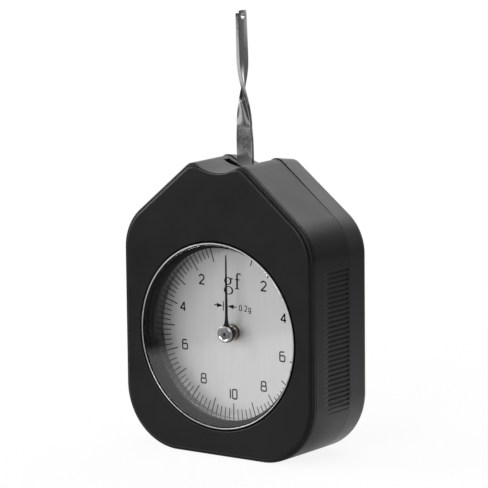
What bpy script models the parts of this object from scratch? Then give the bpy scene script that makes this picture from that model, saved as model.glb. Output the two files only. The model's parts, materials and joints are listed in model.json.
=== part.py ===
# Dial tension gauge: a moulded two-part case, a glazed dial on the front, and a twisted
# measuring lever on top that turns the pointer through a toothed sector and a pinion.
# X runs to the right of the dial, Y from the dial to the back, Z up. The gauge stands
# on its flat base at z = 0, and the origin is the middle of that base.

import math

import bmesh
import bpy
from mathutils import Matrix, Vector

mm = 0.001

# Case outline, seen from the front
body_width = 60.5 * mm
body_depth = 25.5 * mm
ridge_half_width = 7.9 * mm
side_height = 58.97 * mm
base_corner_radius = 16.5 * mm
shoulder_radius = 13.55 * mm
ridge_radius = 3.0 * mm
scoop_depth = 2.85 * mm
least_corner_radius = 0.3 * mm

# Case walls and edges
case_wall = 2.2 * mm
parting_share = 0.655
parting_gap = 0.2 * mm
front_draft = 0.25 * mm
rear_draft = 0.3 * mm
cover_step = 0.3 * mm
cover_fall = 0.7 * mm
inner_edge_radius = 0.7 * mm
outer_edge_radius = 0.5 * mm
edge_ledge = 0.3 * mm
rear_edge_radius = 1.9 * mm
tongue_wall = 1.0 * mm
tongue_length = 1.5 * mm
tongue_root = 1.0 * mm

# Grip grooves moulded in both sides of the front case
grip_front_depth = 6.9 * mm
grip_bottom = 13.15 * mm
grip_top = 50.15 * mm
grip_pitch = 1.25 * mm
grip_groove_depth = 0.7 * mm
grip_groove_width = 0.75 * mm
grip_groove_floor = 0.45 * mm

# Slot in the scoop for the measuring lever
slot_end_gap = 0.6 * mm
slot_side_gap = 0.75 * mm

# Clearances
seat_gap = 0.3 * mm
press_gap = 0.15 * mm
running_gap = 0.1 * mm
overrun = 1.0 * mm

# Dial opening, bezel, lens and sleeve
dial_rim = 5.1 * mm
dial_foot = 6.5 * mm
dial_depth_share = 0.2863
dial_hole_bevel = 0.35 * mm
ring_wall = 1.4 * mm
bezel_gap = 0.6 * mm
bezel_lip = 0.95 * mm
bezel_lip_depth = 1.0 * mm
bezel_skirt = 0.4 * mm
bezel_round = 0.3 * mm
lens_thickness = 1.2 * mm
seal_thickness = 0.5 * mm
sleeve_wall = 1.15 * mm
flange_thickness = 1.0 * mm
flange_width = 0.5 * mm
dial_thickness = 0.5 * mm
dial_edge = 1.2 * mm

# Movement plates, pillars and screws
plate_thickness = 1.2 * mm
front_plate_inset = 3.45 * mm
rear_plate_inset = 7.25 * mm
rear_plate_share = 0.1137
post_radius = 3.0 * mm
post_sink = 0.8 * mm
post_clearance = 0.6 * mm
movement_boss_radius = 1.9 * mm
movement_boss_space = 0.5 * mm
movement_screw_angle = math.radians(24.4)
pillar_radius = 1.3 * mm
lower_pillar_angle = math.radians(136.0)
upper_pillar_angle = math.radians(64.0)
pillar_spigot_radius = 0.7 * mm
small_screw_radius = 0.6 * mm
small_screw_head_radius = 1.3 * mm
small_screw_head = 0.8 * mm
small_screw_slot = 0.3 * mm
small_screw_length = 4.0 * mm
case_screw_radius = 1.2 * mm
case_screw_head_radius = 2.2 * mm
case_screw_head = 1.3 * mm
case_screw_recess = 0.3 * mm
case_screw_length = 13.0 * mm
case_screw_cross = 0.5 * mm
screw_hole_end = 0.8 * mm

# Measuring lever, with its pivot above the dial opening
lever_pivot_rise = 7.35 * mm
lever_headroom = 13.1 * mm
lever_place_share = 0.4443
lever_rise = 37.75 * mm
lever_thickness = 1.05 * mm
lever_edge = 0.1 * mm
lever_eye_radius = 4.0 * mm
lever_root_width = 4.8 * mm
lever_neck_width = 3.9 * mm
lever_tip_width = 3.55 * mm
lever_root_rise = 2.9 * mm
lever_twist_start_rise = 6.2 * mm
lever_twist_end_rise = 24.1 * mm
lever_tip_round = 0.7 * mm
lever_tip_lean = 0.967 * mm
lever_hole_radius = 0.8 * mm
lever_hole_from_top = 1.6 * mm
lever_eye_shares = (0.3, 0.55, 0.75)

# Lever shaft, hub and bushes
shaft_radius = 0.8 * mm
hub_radius = 1.7 * mm
hub_collar_radius = 3.0 * mm
hub_collar = 0.85 * mm
hub_end = 0.8 * mm
bush_wall = 0.7 * mm
bush_flange = 0.8 * mm
bush_flange_thickness = 0.5 * mm
shaft_end = 0.4 * mm
stop_pin_radius = 0.8 * mm
stop_pin_height = 5.2 * mm
stop_pin_end = 0.6 * mm

# Toothed sector and pinion, which turns eleven times as far
pinion_teeth = 10
sector_teeth = 110
pressure_angle = math.radians(20.0)
tooth_share = 1.32
pinion_addendum_share = 0.9
sector_addendum_share = 0.7
dedendum_share = 1.44
sector_thickness = 0.8 * mm
sector_rim = 3.2 * mm
sector_arm = 2.2 * mm
sector_hub_wall = 2.0 * mm
spare_sector_teeth = 3
pinion_overlap = 0.3 * mm

# Pointer, its arbor and its front bush, which shows at the middle of the dial
arbor_radius = 0.5 * mm
arbor_recess = 0.5 * mm
pointer_lens_gap = 0.9 * mm
pointer_hub_radius = 2.15 * mm
pointer_hub_head = 0.7 * mm
pointer_neck_radius = 1.0 * mm
pointer_neck_gap = 0.4 * mm
pointer_end_gap = 2.3 * mm
pointer_root_width = 1.3 * mm
pointer_blade_width = 0.7 * mm
pointer_tip_width = 0.22 * mm
pointer_flare = 3.6 * mm
pointer_thickness = 0.25 * mm
pointer_eye_wall = 0.75 * mm
nose_radius = 1.95 * mm
nose_height = 0.75 * mm

# Hairspring and what holds its two ends, in the space behind the pinion
collet_wall = 0.9 * mm
collet_length_share = 0.352
spring_turns = 4.5
spring_pitch = 1.0 * mm
spring_strip = 0.16 * mm
spring_height = 0.5 * mm
spring_place_share = 0.384
stud_radius = 0.8 * mm

# Facets round a circle
ring_facets = 56
case_arc_facets = 6
ridge_facets = 3
scoop_facets = 5
post_facets = 16
hub_facets = 24
small_facets = 10
spring_facets = 16

# Facets along other rounds
edge_facets = 3
rear_edge_facets = 4
bezel_facets = 2
flank_facets = 3
sector_hub_facets = 14
window_facets = 8
pointer_eye_facets = 20
eye_facets = 7
twist_facets = 16
tip_facets = 3

# Shape of small edges, and how meshes are joined and shaded
edge_share = 0.25
cross_share = 2 / 3
merge_distance = 0.001 * mm
smooth_angle = math.radians(30.0)

half_width = body_width / 2
dial_hole_radius = half_width - dial_rim
dial_height = dial_hole_radius + dial_foot
lever_pivot_height = dial_height + dial_hole_radius + lever_pivot_rise
body_height = lever_pivot_height + lever_headroom
gear_module = 2 * (lever_pivot_height - dial_height) / (pinion_teeth + sector_teeth)
lever_range = math.pi * pinion_teeth / sector_teeth

front_y = -body_depth / 2
back_y = body_depth / 2
parting_y = front_y + parting_share * body_depth
case_end_y = parting_y - parting_gap / 2
cover_start_y = parting_y + parting_gap / 2
cover_floor_y = back_y - case_wall
scoop_radius = (ridge_half_width ** 2 + scoop_depth ** 2) / (2 * scoop_depth)
scoop_centre_height = body_height - scoop_depth + scoop_radius
sector_cut_teeth = pinion_teeth + spare_sector_teeth
lever_neck_start = body_height + lever_root_rise
lever_twist_start = body_height + lever_twist_start_rise
lever_twist_end = body_height + lever_twist_end_rise
lever_top = body_height + lever_rise


def clear_scene():
    for obj in list(bpy.data.objects):
        bpy.data.objects.remove(obj, do_unlink=True)


def new_collection(name):
    collection = bpy.data.collections.new(name)
    bpy.context.scene.collection.children.link(collection)
    return collection


clear_scene()
gauge = new_collection("dial_tension_gauge")
tools = new_collection("cutters")


def material(name, colour, roughness, metallic, alpha=1.0):
    mat = bpy.data.materials.new(name)
    mat.use_nodes = True
    shader = mat.node_tree.nodes["Principled BSDF"]
    shader.inputs["Base Color"].default_value = (*colour, 1.0)
    shader.inputs["Roughness"].default_value = roughness
    shader.inputs["Metallic"].default_value = metallic
    shader.inputs["Alpha"].default_value = alpha
    mat.diffuse_color = (*colour, alpha)
    return mat


def finish_piece(obj, mat):
    """Gives the piece its own material and smooth round faces."""
    own = mat.copy()
    own.name = obj.name
    obj.data.materials.clear()
    obj.data.materials.append(own)
    obj.data.shade_smooth()
    obj.data.set_sharp_from_angle(angle=smooth_angle)
    return obj


def object_from_bmesh(name, bm, collection=gauge):
    bmesh.ops.recalc_face_normals(bm, faces=bm.faces)
    mesh = bpy.data.meshes.new(name)
    bm.to_mesh(mesh)
    bm.free()
    obj = bpy.data.objects.new(name, mesh)
    collection.objects.link(obj)
    return obj


def as_cutter(obj):
    for owner in list(obj.users_collection):
        owner.objects.unlink(obj)
    tools.objects.link(obj)
    obj.hide_render = True
    obj.display_type = "WIRE"
    return obj


def boolean(obj, other, operation):
    step = obj.modifiers.new(operation.lower(), "BOOLEAN")
    step.operation = operation
    step.solver = "EXACT"
    step.object = as_cutter(other)


def cut(obj, *cutters):
    for cutter in cutters:
        boolean(obj, cutter, "DIFFERENCE")


def add(obj, *others):
    for other in others:
        boolean(obj, other, "UNION")


def bake(obj):
    """Replaces the object's mesh with the shape that its modifiers give."""
    graph = bpy.context.evaluated_depsgraph_get()
    graph.update()
    mesh = bpy.data.meshes.new_from_object(obj.evaluated_get(graph))
    obj.modifiers.clear()
    obj.data = mesh
    return obj


def arc(centre, radius, start, end, steps):
    """Points of an arc in the plane, both ends included."""
    points = []
    for k in range(steps + 1):
        angle = start + (end - start) * k / steps
        points.append((centre[0] + radius * math.cos(angle), centre[1] + radius * math.sin(angle)))
    return points


def mould_draft(y):
    """How far the mould's draft has moved the outer wall inwards at depth y."""
    if y < parting_y:
        return front_draft * (parting_y - y) / (parting_y - front_y)
    return rear_draft * (y - parting_y) / (back_y - parting_y)


def cover_drop(y):
    """How far the ridges have come down at depth y: the cover's stand proud and fall to the back."""
    if y < parting_y:
        return 0
    return (cover_step + cover_fall) * (y - parting_y) / (back_y - parting_y) - cover_step


def case_outline(inset, draft=0, drop=0):
    """Outline of the case in X and Z, moved inwards by inset, anticlockwise from the front.

    The draft moves the sides and the top further in, and leaves the base where it is. The
    drop lowers the ridges, and less what lies between them and the shoulders.
    """
    inset += draft
    chamfer = Vector((ridge_half_width - half_width, body_height - side_height)).normalized()
    normal = Vector((chamfer.y, -chamfer.x))
    corner = Vector((half_width, side_height))
    scoop_centre = Vector((0, scoop_centre_height))
    slope = math.atan2(normal.y, normal.x)

    base_radius = max(base_corner_radius - inset, least_corner_radius)
    base_offset = base_radius + inset
    points = arc((half_width - base_offset, base_offset), base_radius, -math.pi / 2, 0, case_arc_facets)

    side_radius = max(shoulder_radius - inset, least_corner_radius)
    side_offset = side_radius + inset
    side_centre = (half_width - side_offset, side_height - side_offset * (1 - normal.x) / normal.y)
    points += arc(side_centre, side_radius, 0, slope, case_arc_facets)

    top_radius = max(ridge_radius - inset, least_corner_radius)
    top_offset = top_radius + inset
    start = corner - top_offset * normal - scoop_centre
    along = start.dot(chamfer)
    reach = math.sqrt(along ** 2 - start.length_squared + (scoop_radius + top_offset) ** 2)
    top_centre = scoop_centre + start - (along + reach) * chamfer
    to_scoop = scoop_centre - top_centre
    turn = math.atan2(to_scoop.y, to_scoop.x)
    points += arc(top_centre, top_radius, slope, turn, ridge_facets)
    points += arc(scoop_centre, scoop_radius + inset, turn - math.pi, -math.pi / 2, scoop_facets)[1:]

    points += [(-x, z) for x, z in reversed(points[:-1])]
    stretch = (body_height - draft) / (body_height - 2 * draft)
    raised = [(x, (z - draft) * stretch) for x, z in points]
    fall = drop / (body_height - side_height)
    return [(x, z - fall * max(z - side_height, 0)) for x, z in raised]


def loft_rings(name, rings, collection=gauge):
    """Closed solid through rings of points, all with the same number of points."""
    bm = bmesh.new()
    loops = [[bm.verts.new(point) for point in ring] for ring in rings]
    for loop, following in zip(loops, loops[1:]):
        for k in range(len(loop)):
            n = (k + 1) % len(loop)
            bm.faces.new((loop[k], loop[n], following[n], following[k]))
    bm.faces.new(loops[0])
    bm.faces.new(loops[-1])
    return object_from_bmesh(name, bm, collection)


def case_loft(name, sections, collection=gauge, drafted=False):
    """Solid with the case's outline at each (y, inset), with the mould's draft if it is drafted."""
    rings = []
    for y, inset in sections:
        outline = case_outline(inset, mould_draft(y), cover_drop(y)) if drafted else case_outline(inset)
        rings.append([(x, y, z) for x, z in outline])
    return loft_rings(name, rings, collection)


def quarter(start, end, steps, outwards):
    """Quarter round between two (y, inset) corners, hollow side chosen by outwards."""
    points = []
    for k in range(steps + 1):
        angle = math.pi / 2 * k / steps
        near = math.sin(angle) if outwards else 1 - math.cos(angle)
        far = 1 - math.cos(angle) if outwards else math.sin(angle)
        points.append((start[0] + (end[0] - start[0]) * far, start[1] + (end[1] - start[1]) * near))
    return points


def cylinders(name, radius, y_from, y_to, places, facets=small_facets):
    """Cylinders along Y, one at each (x, z), that stay clear of each other."""
    bm = bmesh.new()
    turn = Matrix.Rotation(math.pi / 2, 4, "X")
    for x, z in places:
        place = Matrix.Translation((x, (y_from + y_to) / 2, z))
        bmesh.ops.create_cone(bm, cap_ends=True, segments=facets, radius1=radius, radius2=radius,
                              depth=y_to - y_from, matrix=place @ turn)
    return object_from_bmesh(name, bm, tools)


def merge_cutters(name, cutters):
    """One cutter from several that stay clear of each other."""
    bm = bmesh.new()
    for cutter in cutters:
        bm.from_mesh(cutter.data)
        bpy.data.objects.remove(cutter)
    return object_from_bmesh(name, bm, tools)


def box(name, x_size, y_size, z_size, centre, collection=gauge):
    bm = bmesh.new()
    size = Matrix.Diagonal((x_size, y_size, z_size, 1))
    bmesh.ops.create_cube(bm, size=1, matrix=Matrix.Translation(centre) @ size)
    return object_from_bmesh(name, bm, collection)


def turned(name, profile, y=0, x=0, z=0, facets=small_facets, ring=False):
    """Piece turned about an axis along Y. The profile is (radius, depth behind y)."""
    mesh = bpy.data.meshes.new(name)
    count = len(profile)
    edges = [(k, k + 1) for k in range(count - 1)]
    if ring:
        edges.append((count - 1, 0))
    mesh.from_pydata([(radius, 0, depth) for radius, depth in profile], edges, [])
    obj = bpy.data.objects.new(name, mesh)
    gauge.objects.link(obj)
    obj.location = (x, y, z)
    obj.rotation_euler = (-math.pi / 2, 0, 0)
    lathe = obj.modifiers.new("lathe", "SCREW")
    lathe.axis = "Z"
    lathe.angle = 2 * math.pi
    lathe.steps = facets
    lathe.render_steps = facets
    lathe.use_merge_vertices = True
    lathe.merge_threshold = merge_distance
    return obj


def circle(radius, facets=small_facets):
    return arc((0, 0), radius, 0, 2 * math.pi * (1 - 1 / facets), facets - 1)


def flat_piece(name, outlines, thickness, y, x=0, z=0):
    """Flat piece in the XZ plane from an outline and its holes, centred on y."""
    curve = bpy.data.curves.new(name, "CURVE")
    curve.dimensions = "2D"
    curve.fill_mode = "BOTH"
    curve.extrude = thickness / 2
    for outline in outlines:
        spline = curve.splines.new("POLY")
        spline.points.add(len(outline) - 1)
        for point, (u, v) in zip(spline.points, outline):
            point.co = (u, v, 0, 1)
        spline.use_cyclic_u = True
    shape = bpy.data.objects.new(name + "_outline", curve)
    gauge.objects.link(shape)
    graph = bpy.context.evaluated_depsgraph_get()
    graph.update()
    mesh = bpy.data.meshes.new_from_object(shape.evaluated_get(graph))
    bm = bmesh.new()
    bm.from_mesh(mesh)
    bmesh.ops.remove_doubles(bm, verts=bm.verts, dist=merge_distance)
    bmesh.ops.transform(bm, matrix=Matrix.Rotation(math.pi / 2, 4, "X"), verts=bm.verts)
    bpy.data.objects.remove(shape)
    bpy.data.curves.remove(curve)
    obj = object_from_bmesh(name, bm)
    obj.location = (x, y, z)
    return obj


def copies(obj, name, places):
    """Copies of a finished piece that share its mesh, one for each (x, z)."""
    bake(obj)
    y = obj.location.y
    for number, (x, z) in enumerate(places, start=1):
        twin = bpy.data.objects.new(f"{name}_{number}", obj.data)
        gauge.objects.link(twin)
        twin.location = (x, y, z)
        twin.rotation_euler = obj.rotation_euler
        yield twin
    bpy.data.objects.remove(obj)


black_plastic = material("black_plastic", (0.028, 0.028, 0.03), 0.5, 0.0)
gloss_black = material("gloss_black", (0.015, 0.015, 0.015), 0.15, 0.0)
steel = material("steel", (0.62, 0.62, 0.63), 0.28, 1.0)
chrome = material("chrome", (0.8, 0.8, 0.8), 0.12, 1.0)
brass = material("brass", (0.66, 0.5, 0.24), 0.35, 1.0)
dial_paint = material("dial_paint", (0.62, 0.62, 0.62), 0.35, 0.3)
rubber = material("rubber", (0.02, 0.02, 0.02), 0.7, 0.0)
clear_lens = material("clear_lens", (0.95, 0.95, 0.95), 0.03, 0.0, 0.2)
spring_steel = material("spring_steel", (0.4, 0.42, 0.5), 0.3, 1.0)

# Places that several pieces share
lens_y = front_y + bezel_lip_depth + seat_gap
seal_y = lens_y + lens_thickness + seat_gap
sleeve_y = seal_y + seal_thickness + seat_gap
dial_y = front_y + dial_depth_share * body_depth
flange_y = dial_y - seat_gap - flange_thickness
ring_end_y = flange_y - seat_gap
front_plate_y = dial_y + dial_thickness + seat_gap
front_plate_back_y = front_plate_y + plate_thickness
rear_plate_back_y = cover_floor_y - rear_plate_share * body_depth
rear_plate_y = rear_plate_back_y - plate_thickness
lever_y = front_plate_back_y + lever_place_share * (rear_plate_y - front_plate_back_y)
collar_y = lever_y + lever_thickness / 2 + seat_gap
sector_y = collar_y + hub_collar + seat_gap + sector_thickness / 2

bezel_radius = dial_hole_radius - bezel_gap
lens_radius = bezel_radius - bezel_skirt - seat_gap
sleeve_radius = lens_radius - sleeve_wall
ring_radius = dial_hole_radius + ring_wall
flange_radius = ring_radius + flange_width
dial_radius = sleeve_radius + dial_edge

post_reach = base_corner_radius - case_wall - post_radius + post_sink
diagonal = math.sqrt(0.5)
lower_post_x = half_width - base_corner_radius + post_reach * diagonal
lower_post_z = base_corner_radius - post_reach * diagonal


def post_places():
    """Middles of the four posts that the case screws go through, by the corners."""
    normal = Vector((body_height - side_height, half_width - ridge_half_width)).normalized()
    middle = Vector((1 + normal.x, normal.y)).normalized()
    centre = Vector((half_width - shoulder_radius, side_height - shoulder_radius * (1 - normal.x) / normal.y))
    upper = centre + (shoulder_radius - case_wall - post_radius + post_sink) * middle
    return [(side * x, z) for x, z in ((lower_post_x, lower_post_z), (upper.x, upper.y))
            for side in (-1, 1)]


def circle_places(radius, angles):
    """Places on a circle about the dial's middle, by the angle from the top."""
    return [(side * radius * math.sin(angle), dial_height + radius * math.cos(angle))
            for angle in angles for side in (-1, 1)]


boss_circle_radius = ring_radius + movement_boss_radius + movement_boss_space
boss_places = circle_places(boss_circle_radius, (movement_screw_angle, math.pi - movement_screw_angle))
pillar_places = circle_places(half_width - rear_plate_inset, (upper_pillar_angle, lower_pillar_angle))


def make_front_case():
    inner_inset = inner_edge_radius + edge_ledge + outer_edge_radius
    ledge_y = front_y + inner_edge_radius
    edge_end_y = ledge_y + outer_edge_radius
    sections = quarter((front_y, inner_inset), (ledge_y, inner_inset - inner_edge_radius), edge_facets, True)
    sections += quarter((ledge_y, outer_edge_radius), (edge_end_y, 0), edge_facets, True)
    sections.append((case_end_y, 0))
    case = case_loft("front_case", sections, drafted=True)
    floor_y = front_y + case_wall
    cut(case, case_loft("case_hollow", [(floor_y, case_wall), (case_end_y + overrun, case_wall)], tools))

    posts_end_y = case_end_y - seat_gap
    posts_start_y = front_y + case_wall / 2
    middle = [(0, dial_height)]
    add(case, cylinders("dial_ring", ring_radius, posts_start_y, ring_end_y, middle, ring_facets))
    opening_end = ring_end_y - front_y + overrun
    opening = [(0, opening_end), (dial_hole_radius, opening_end),
               (dial_hole_radius, dial_hole_bevel), (dial_hole_radius + dial_hole_bevel + overrun, -overrun),
               (0, -overrun)]
    cut(case, turned("dial_hole", opening, front_y, 0, dial_height, ring_facets))

    add(case, cylinders("case_posts", post_radius, posts_start_y, posts_end_y, post_places(), post_facets),
        cylinders("movement_bosses", movement_boss_radius, posts_start_y, front_plate_y - seat_gap,
                  boss_places, post_facets))
    screw_end_y = cover_screw_seat_y() - case_screw_length - screw_hole_end
    boss_end_y = front_plate_back_y + seat_gap - small_screw_length - screw_hole_end
    cut(case, cylinders("post_holes", case_screw_radius + press_gap, screw_end_y, posts_end_y + overrun,
                        post_places()),
        cylinders("boss_holes", small_screw_radius + press_gap, boss_end_y, front_plate_y + overrun,
                  boss_places))

    swing = (body_height - scoop_depth - lever_pivot_height) * math.sin(lever_range)
    slot_half_length = (lever_root_width / 2 + swing) / math.cos(lever_range) + slot_end_gap
    slot_top = body_height + overrun
    slot_bottom = body_height - scoop_depth - case_wall - overrun
    cut(case, box("lever_slot", 2 * slot_half_length, lever_thickness + 2 * slot_side_gap,
                  slot_top - slot_bottom, (0, lever_y, (slot_top + slot_bottom) / 2), tools))
    cut(case, grip_cutter("left_grip", -1), grip_cutter("right_grip", 1))
    return finish_piece(case, black_plastic)


def grip_cutter(name, side):
    """Row of tapered bars that cuts the grooves of one grip."""
    grip_y = front_y + grip_front_depth
    end_y = case_end_y + overrun
    outer = side * (half_width + overrun)
    spread = (grip_groove_width - grip_groove_floor) / 2 * (overrun / grip_groove_depth)
    mouth = grip_groove_width / 2 + spread
    floor = grip_groove_floor / 2
    first = grip_bottom + grip_groove_width / 2
    rings = []
    for y in (grip_y, end_y):
        inner = side * (half_width - mould_draft(y) - grip_groove_depth)
        ring = [(outer, -mouth), (inner, -floor), (inner, floor), (outer, mouth)]
        rings.append([(x, y, first + z) for x, z in ring])
    bar = loft_rings(name, rings, tools)
    row = bar.modifiers.new("row", "ARRAY")
    row.count = 1 + int((grip_top - grip_bottom - grip_groove_width) / grip_pitch)
    row.use_relative_offset = False
    row.use_constant_offset = True
    row.constant_offset_displace = (0, 0, grip_pitch)
    row.use_merge_vertices = False
    return bar


def cover_screw_seat_y():
    """Seat under the case screws' heads, at the bottom of their recess in the cover."""
    return back_y - case_screw_recess - case_screw_head - seat_gap


def make_rear_cover():
    sections = [(cover_start_y, 0)]
    sections += quarter((back_y - rear_edge_radius, 0), (back_y, rear_edge_radius), rear_edge_facets, False)
    cover = case_loft("rear_cover", sections, drafted=True)
    tongue_inset = case_wall + seat_gap
    tongue_y = cover_start_y - tongue_length
    root_y = cover_start_y + tongue_root
    add(cover, case_loft("cover_tongue", [(tongue_y, tongue_inset), (root_y, tongue_inset)], tools))
    inner_inset = tongue_inset + tongue_wall
    cut(cover, case_loft("tongue_hollow", [(tongue_y - overrun, inner_inset), (root_y, inner_inset),
                                           (root_y, case_wall), (cover_floor_y, case_wall)], tools))
    notch_end_y = cover_start_y + seat_gap
    sleeve_start_y = notch_end_y + seat_gap
    cut(cover, cylinders("tongue_notches", post_radius + seat_gap, tongue_y - overrun, notch_end_y,
                         post_places(), post_facets))
    add(cover, cylinders("cover_posts", post_radius, sleeve_start_y, cover_floor_y + case_wall / 2,
                         post_places(), post_facets))
    cut(cover, cylinders("cover_holes", case_screw_radius + press_gap, sleeve_start_y - overrun,
                         back_y + overrun, post_places()),
        cylinders("cover_recesses", case_screw_head_radius + press_gap, cover_screw_seat_y(),
                  back_y + overrun, post_places(), post_facets))
    return finish_piece(cover, black_plastic)


def screw_profile(radius, head_radius, head, length):
    """Screw that points towards the dial: its head ends at depth zero behind the seat."""
    crown = head_radius * edge_share
    return [(0, head), (head_radius - crown, head), (head_radius, head - crown), (head_radius, 0),
            (radius, 0), (radius, -length), (0, -length)]


def make_case_screws():
    seat_y = cover_screw_seat_y() + seat_gap
    screw = turned("case_screw_blank", screw_profile(case_screw_radius, case_screw_head_radius,
                                                     case_screw_head, case_screw_length), seat_y)
    reach = 2 * case_screw_radius + case_screw_cross
    depth = case_screw_head * cross_share
    centre = (0, seat_y + case_screw_head, 0)
    cut(screw, box("cross_1", reach, depth, case_screw_cross, centre, tools),
        box("cross_2", case_screw_cross, depth, reach, centre, tools))
    for piece in copies(screw, "case_screw", post_places()):
        finish_piece(piece, steel)


def small_screws(name, seat_y, places, mat):
    """Slotted screws that go towards the dial, with their heads on the seat."""
    screw = turned(name + "_blank", screw_profile(small_screw_radius, small_screw_head_radius,
                                                  small_screw_head, small_screw_length), seat_y)
    cut(screw, box(name + "_slot", 2 * small_screw_head_radius + overrun, small_screw_head,
                   small_screw_slot, (0, seat_y + small_screw_head, 0), tools))
    for piece in copies(screw, name, places):
        finish_piece(piece, mat)


def make_bezel():
    """Bright ring in the dial opening: a rounded lip over the lens and a skirt round it."""
    inner = bezel_radius - bezel_lip
    skirt_inner = bezel_radius - bezel_skirt
    bezel_length = seal_y + seal_thickness - front_y
    profile = arc((bezel_radius - bezel_round, bezel_round), bezel_round, 0, -math.pi / 2, bezel_facets)
    profile += arc((inner + bezel_round, bezel_round), bezel_round, -math.pi / 2, -math.pi,
                   bezel_facets)
    profile += [(inner, bezel_lip_depth), (skirt_inner, bezel_lip_depth), (skirt_inner, bezel_length),
                (bezel_radius, bezel_length)]
    bezel = turned("lens_bezel", profile, front_y, 0, dial_height, ring_facets, ring=True)
    return finish_piece(bezel, chrome)


def ring_profile(inner, outer, length):
    return [(outer, length), (outer, 0), (inner, 0), (inner, length)]


def make_dial_group():
    edge = lens_thickness * edge_share
    lens = turned("lens", [(0, lens_thickness), (lens_radius - edge, lens_thickness),
                           (lens_radius, lens_thickness - edge), (lens_radius, edge),
                           (lens_radius - edge, 0), (0, 0)], lens_y, 0, dial_height, ring_facets)
    finish_piece(lens, clear_lens)
    seal = turned("lens_seal", ring_profile(sleeve_radius, lens_radius, seal_thickness), seal_y,
                  0, dial_height, ring_facets, ring=True)
    finish_piece(seal, rubber)
    length = flange_y + flange_thickness - sleeve_y
    flange = length - flange_thickness
    sleeve = turned("dial_sleeve", [(flange_radius, length), (flange_radius, flange), (lens_radius, flange),
                                    (lens_radius, 0), (sleeve_radius, 0), (sleeve_radius, length)],
                    sleeve_y, 0, dial_height, ring_facets, ring=True)
    finish_piece(sleeve, gloss_black)
    hole = nose_radius + seat_gap
    dial = turned("dial_plate", ring_profile(hole, dial_radius, dial_thickness), dial_y,
                  0, dial_height, ring_facets, ring=True)
    finish_piece(dial, dial_paint)


def bush_hole(shaft):
    return shaft + running_gap + bush_wall + press_gap


def plate(name, y, inset, holes):
    """Movement plate that follows the case, clears its posts and has round holes."""
    blank = case_loft(name, [(y, inset), (y + plate_thickness, inset)])
    start_y = y - overrun
    end_y = y + plate_thickness + overrun
    cutters = [cylinders("notches", post_radius + post_clearance, start_y, end_y, post_places(), post_facets)]
    cutters += [cylinders("holes", radius, start_y, end_y, places) for radius, places in holes]
    cut(blank, merge_cutters(name + "_holes", cutters))
    return finish_piece(blank, brass)


def spring_radius(angle):
    start = arbor_radius + press_gap + collet_wall + seat_gap + spring_strip / 2
    return start + spring_pitch * angle / (2 * math.pi)


def spring_end():
    """Where the hairspring's outer end goes into its stud."""
    turns = 2 * math.pi * spring_turns
    radius = spring_radius(turns)
    return radius * math.sin(turns), dial_height + radius * math.cos(turns)


def stop_pin_places():
    """Places beside the lever where its edge comes to the pins just past the joint's range."""
    side = lever_root_width / 2 + stop_pin_radius + seat_gap
    x = (side + stop_pin_height * math.sin(lever_range)) / math.cos(lever_range)
    return [(-x, lever_pivot_height + stop_pin_height), (x, lever_pivot_height + stop_pin_height)]


def make_plates():
    bush_holes = [(bush_hole(arbor_radius), [(0, dial_height)]),
                  (bush_hole(shaft_radius), [(0, lever_pivot_height)])]
    screw_hole = small_screw_radius + press_gap
    front_holes = bush_holes + [(screw_hole, boss_places), (pillar_spigot_radius + press_gap, pillar_places),
                                (stop_pin_radius + press_gap, stop_pin_places())]
    plate("front_plate", front_plate_y, front_plate_inset, front_holes)
    rear_holes = bush_holes + [(screw_hole, pillar_places), (stud_radius + press_gap, [spring_end()])]
    plate("rear_plate", rear_plate_y, rear_plate_inset, rear_holes)


def make_pillars():
    start_y = front_plate_back_y + seat_gap
    length = rear_plate_y - seat_gap - start_y
    spigot = plate_thickness + seat_gap
    hole = small_screw_radius + press_gap
    hole_depth = small_screw_length - plate_thickness - seat_gap + screw_hole_end
    pillar = turned("pillar_blank", [(0, length - hole_depth), (hole, length - hole_depth), (hole, length),
                                     (pillar_radius, length), (pillar_radius, 0), (pillar_spigot_radius, 0),
                                     (pillar_spigot_radius, -spigot), (0, -spigot)], start_y)
    for piece in copies(pillar, "pillar", pillar_places):
        finish_piece(piece, brass)


def make_stop_pins():
    end_y = lever_y + lever_thickness / 2 + stop_pin_end
    length = end_y - front_plate_y
    for name, (x, z) in zip(("stop_pin_left", "stop_pin_right"), stop_pin_places()):
        edge = stop_pin_radius * edge_share
        pin = turned(name, [(0, length), (stop_pin_radius - edge, length), (stop_pin_radius, length - edge),
                            (stop_pin_radius, 0), (0, 0)], front_plate_y, x, z)
        finish_piece(pin, steel)


def bush_profile(shaft, through, flange, nose=0, nose_length=0):
    """Bush with its flange behind the plate, and a wide nose before it if one is given."""
    bore = shaft + running_gap
    body = bore + bush_wall
    outline = [(bore, through + flange), (body + bush_flange, through + flange),
               (body + bush_flange, through), (body, through)]
    if nose:
        outline += [(body, 0), (nose, 0), (nose, -nose_length), (bore, -nose_length)]
    else:
        outline += [(body, 0), (bore, 0)]
    return outline


def make_bushes():
    through = plate_thickness + seat_gap
    nose_back_y = front_plate_y - seat_gap
    nose_front = nose_back_y - (dial_y - nose_height)
    front = turned("pointer_front_bush",
                   bush_profile(arbor_radius, through + seat_gap, bush_flange_thickness, nose_radius, nose_front),
                   nose_back_y, 0, dial_height, hub_facets, ring=True)
    finish_piece(front, brass)
    shaft_bush = turned("lever_front_bush", bush_profile(shaft_radius, through, bush_flange_thickness),
                        front_plate_y, 0, lever_pivot_height, ring=True)
    finish_piece(shaft_bush, brass)
    for name, radius, height in (("pointer_rear_bush", arbor_radius, dial_height),
                                 ("lever_rear_bush", shaft_radius, lever_pivot_height)):
        rear = turned(name, bush_profile(radius, through, bush_flange_thickness), rear_plate_y, 0, height,
                      ring=True)
        finish_piece(rear, brass)


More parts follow.
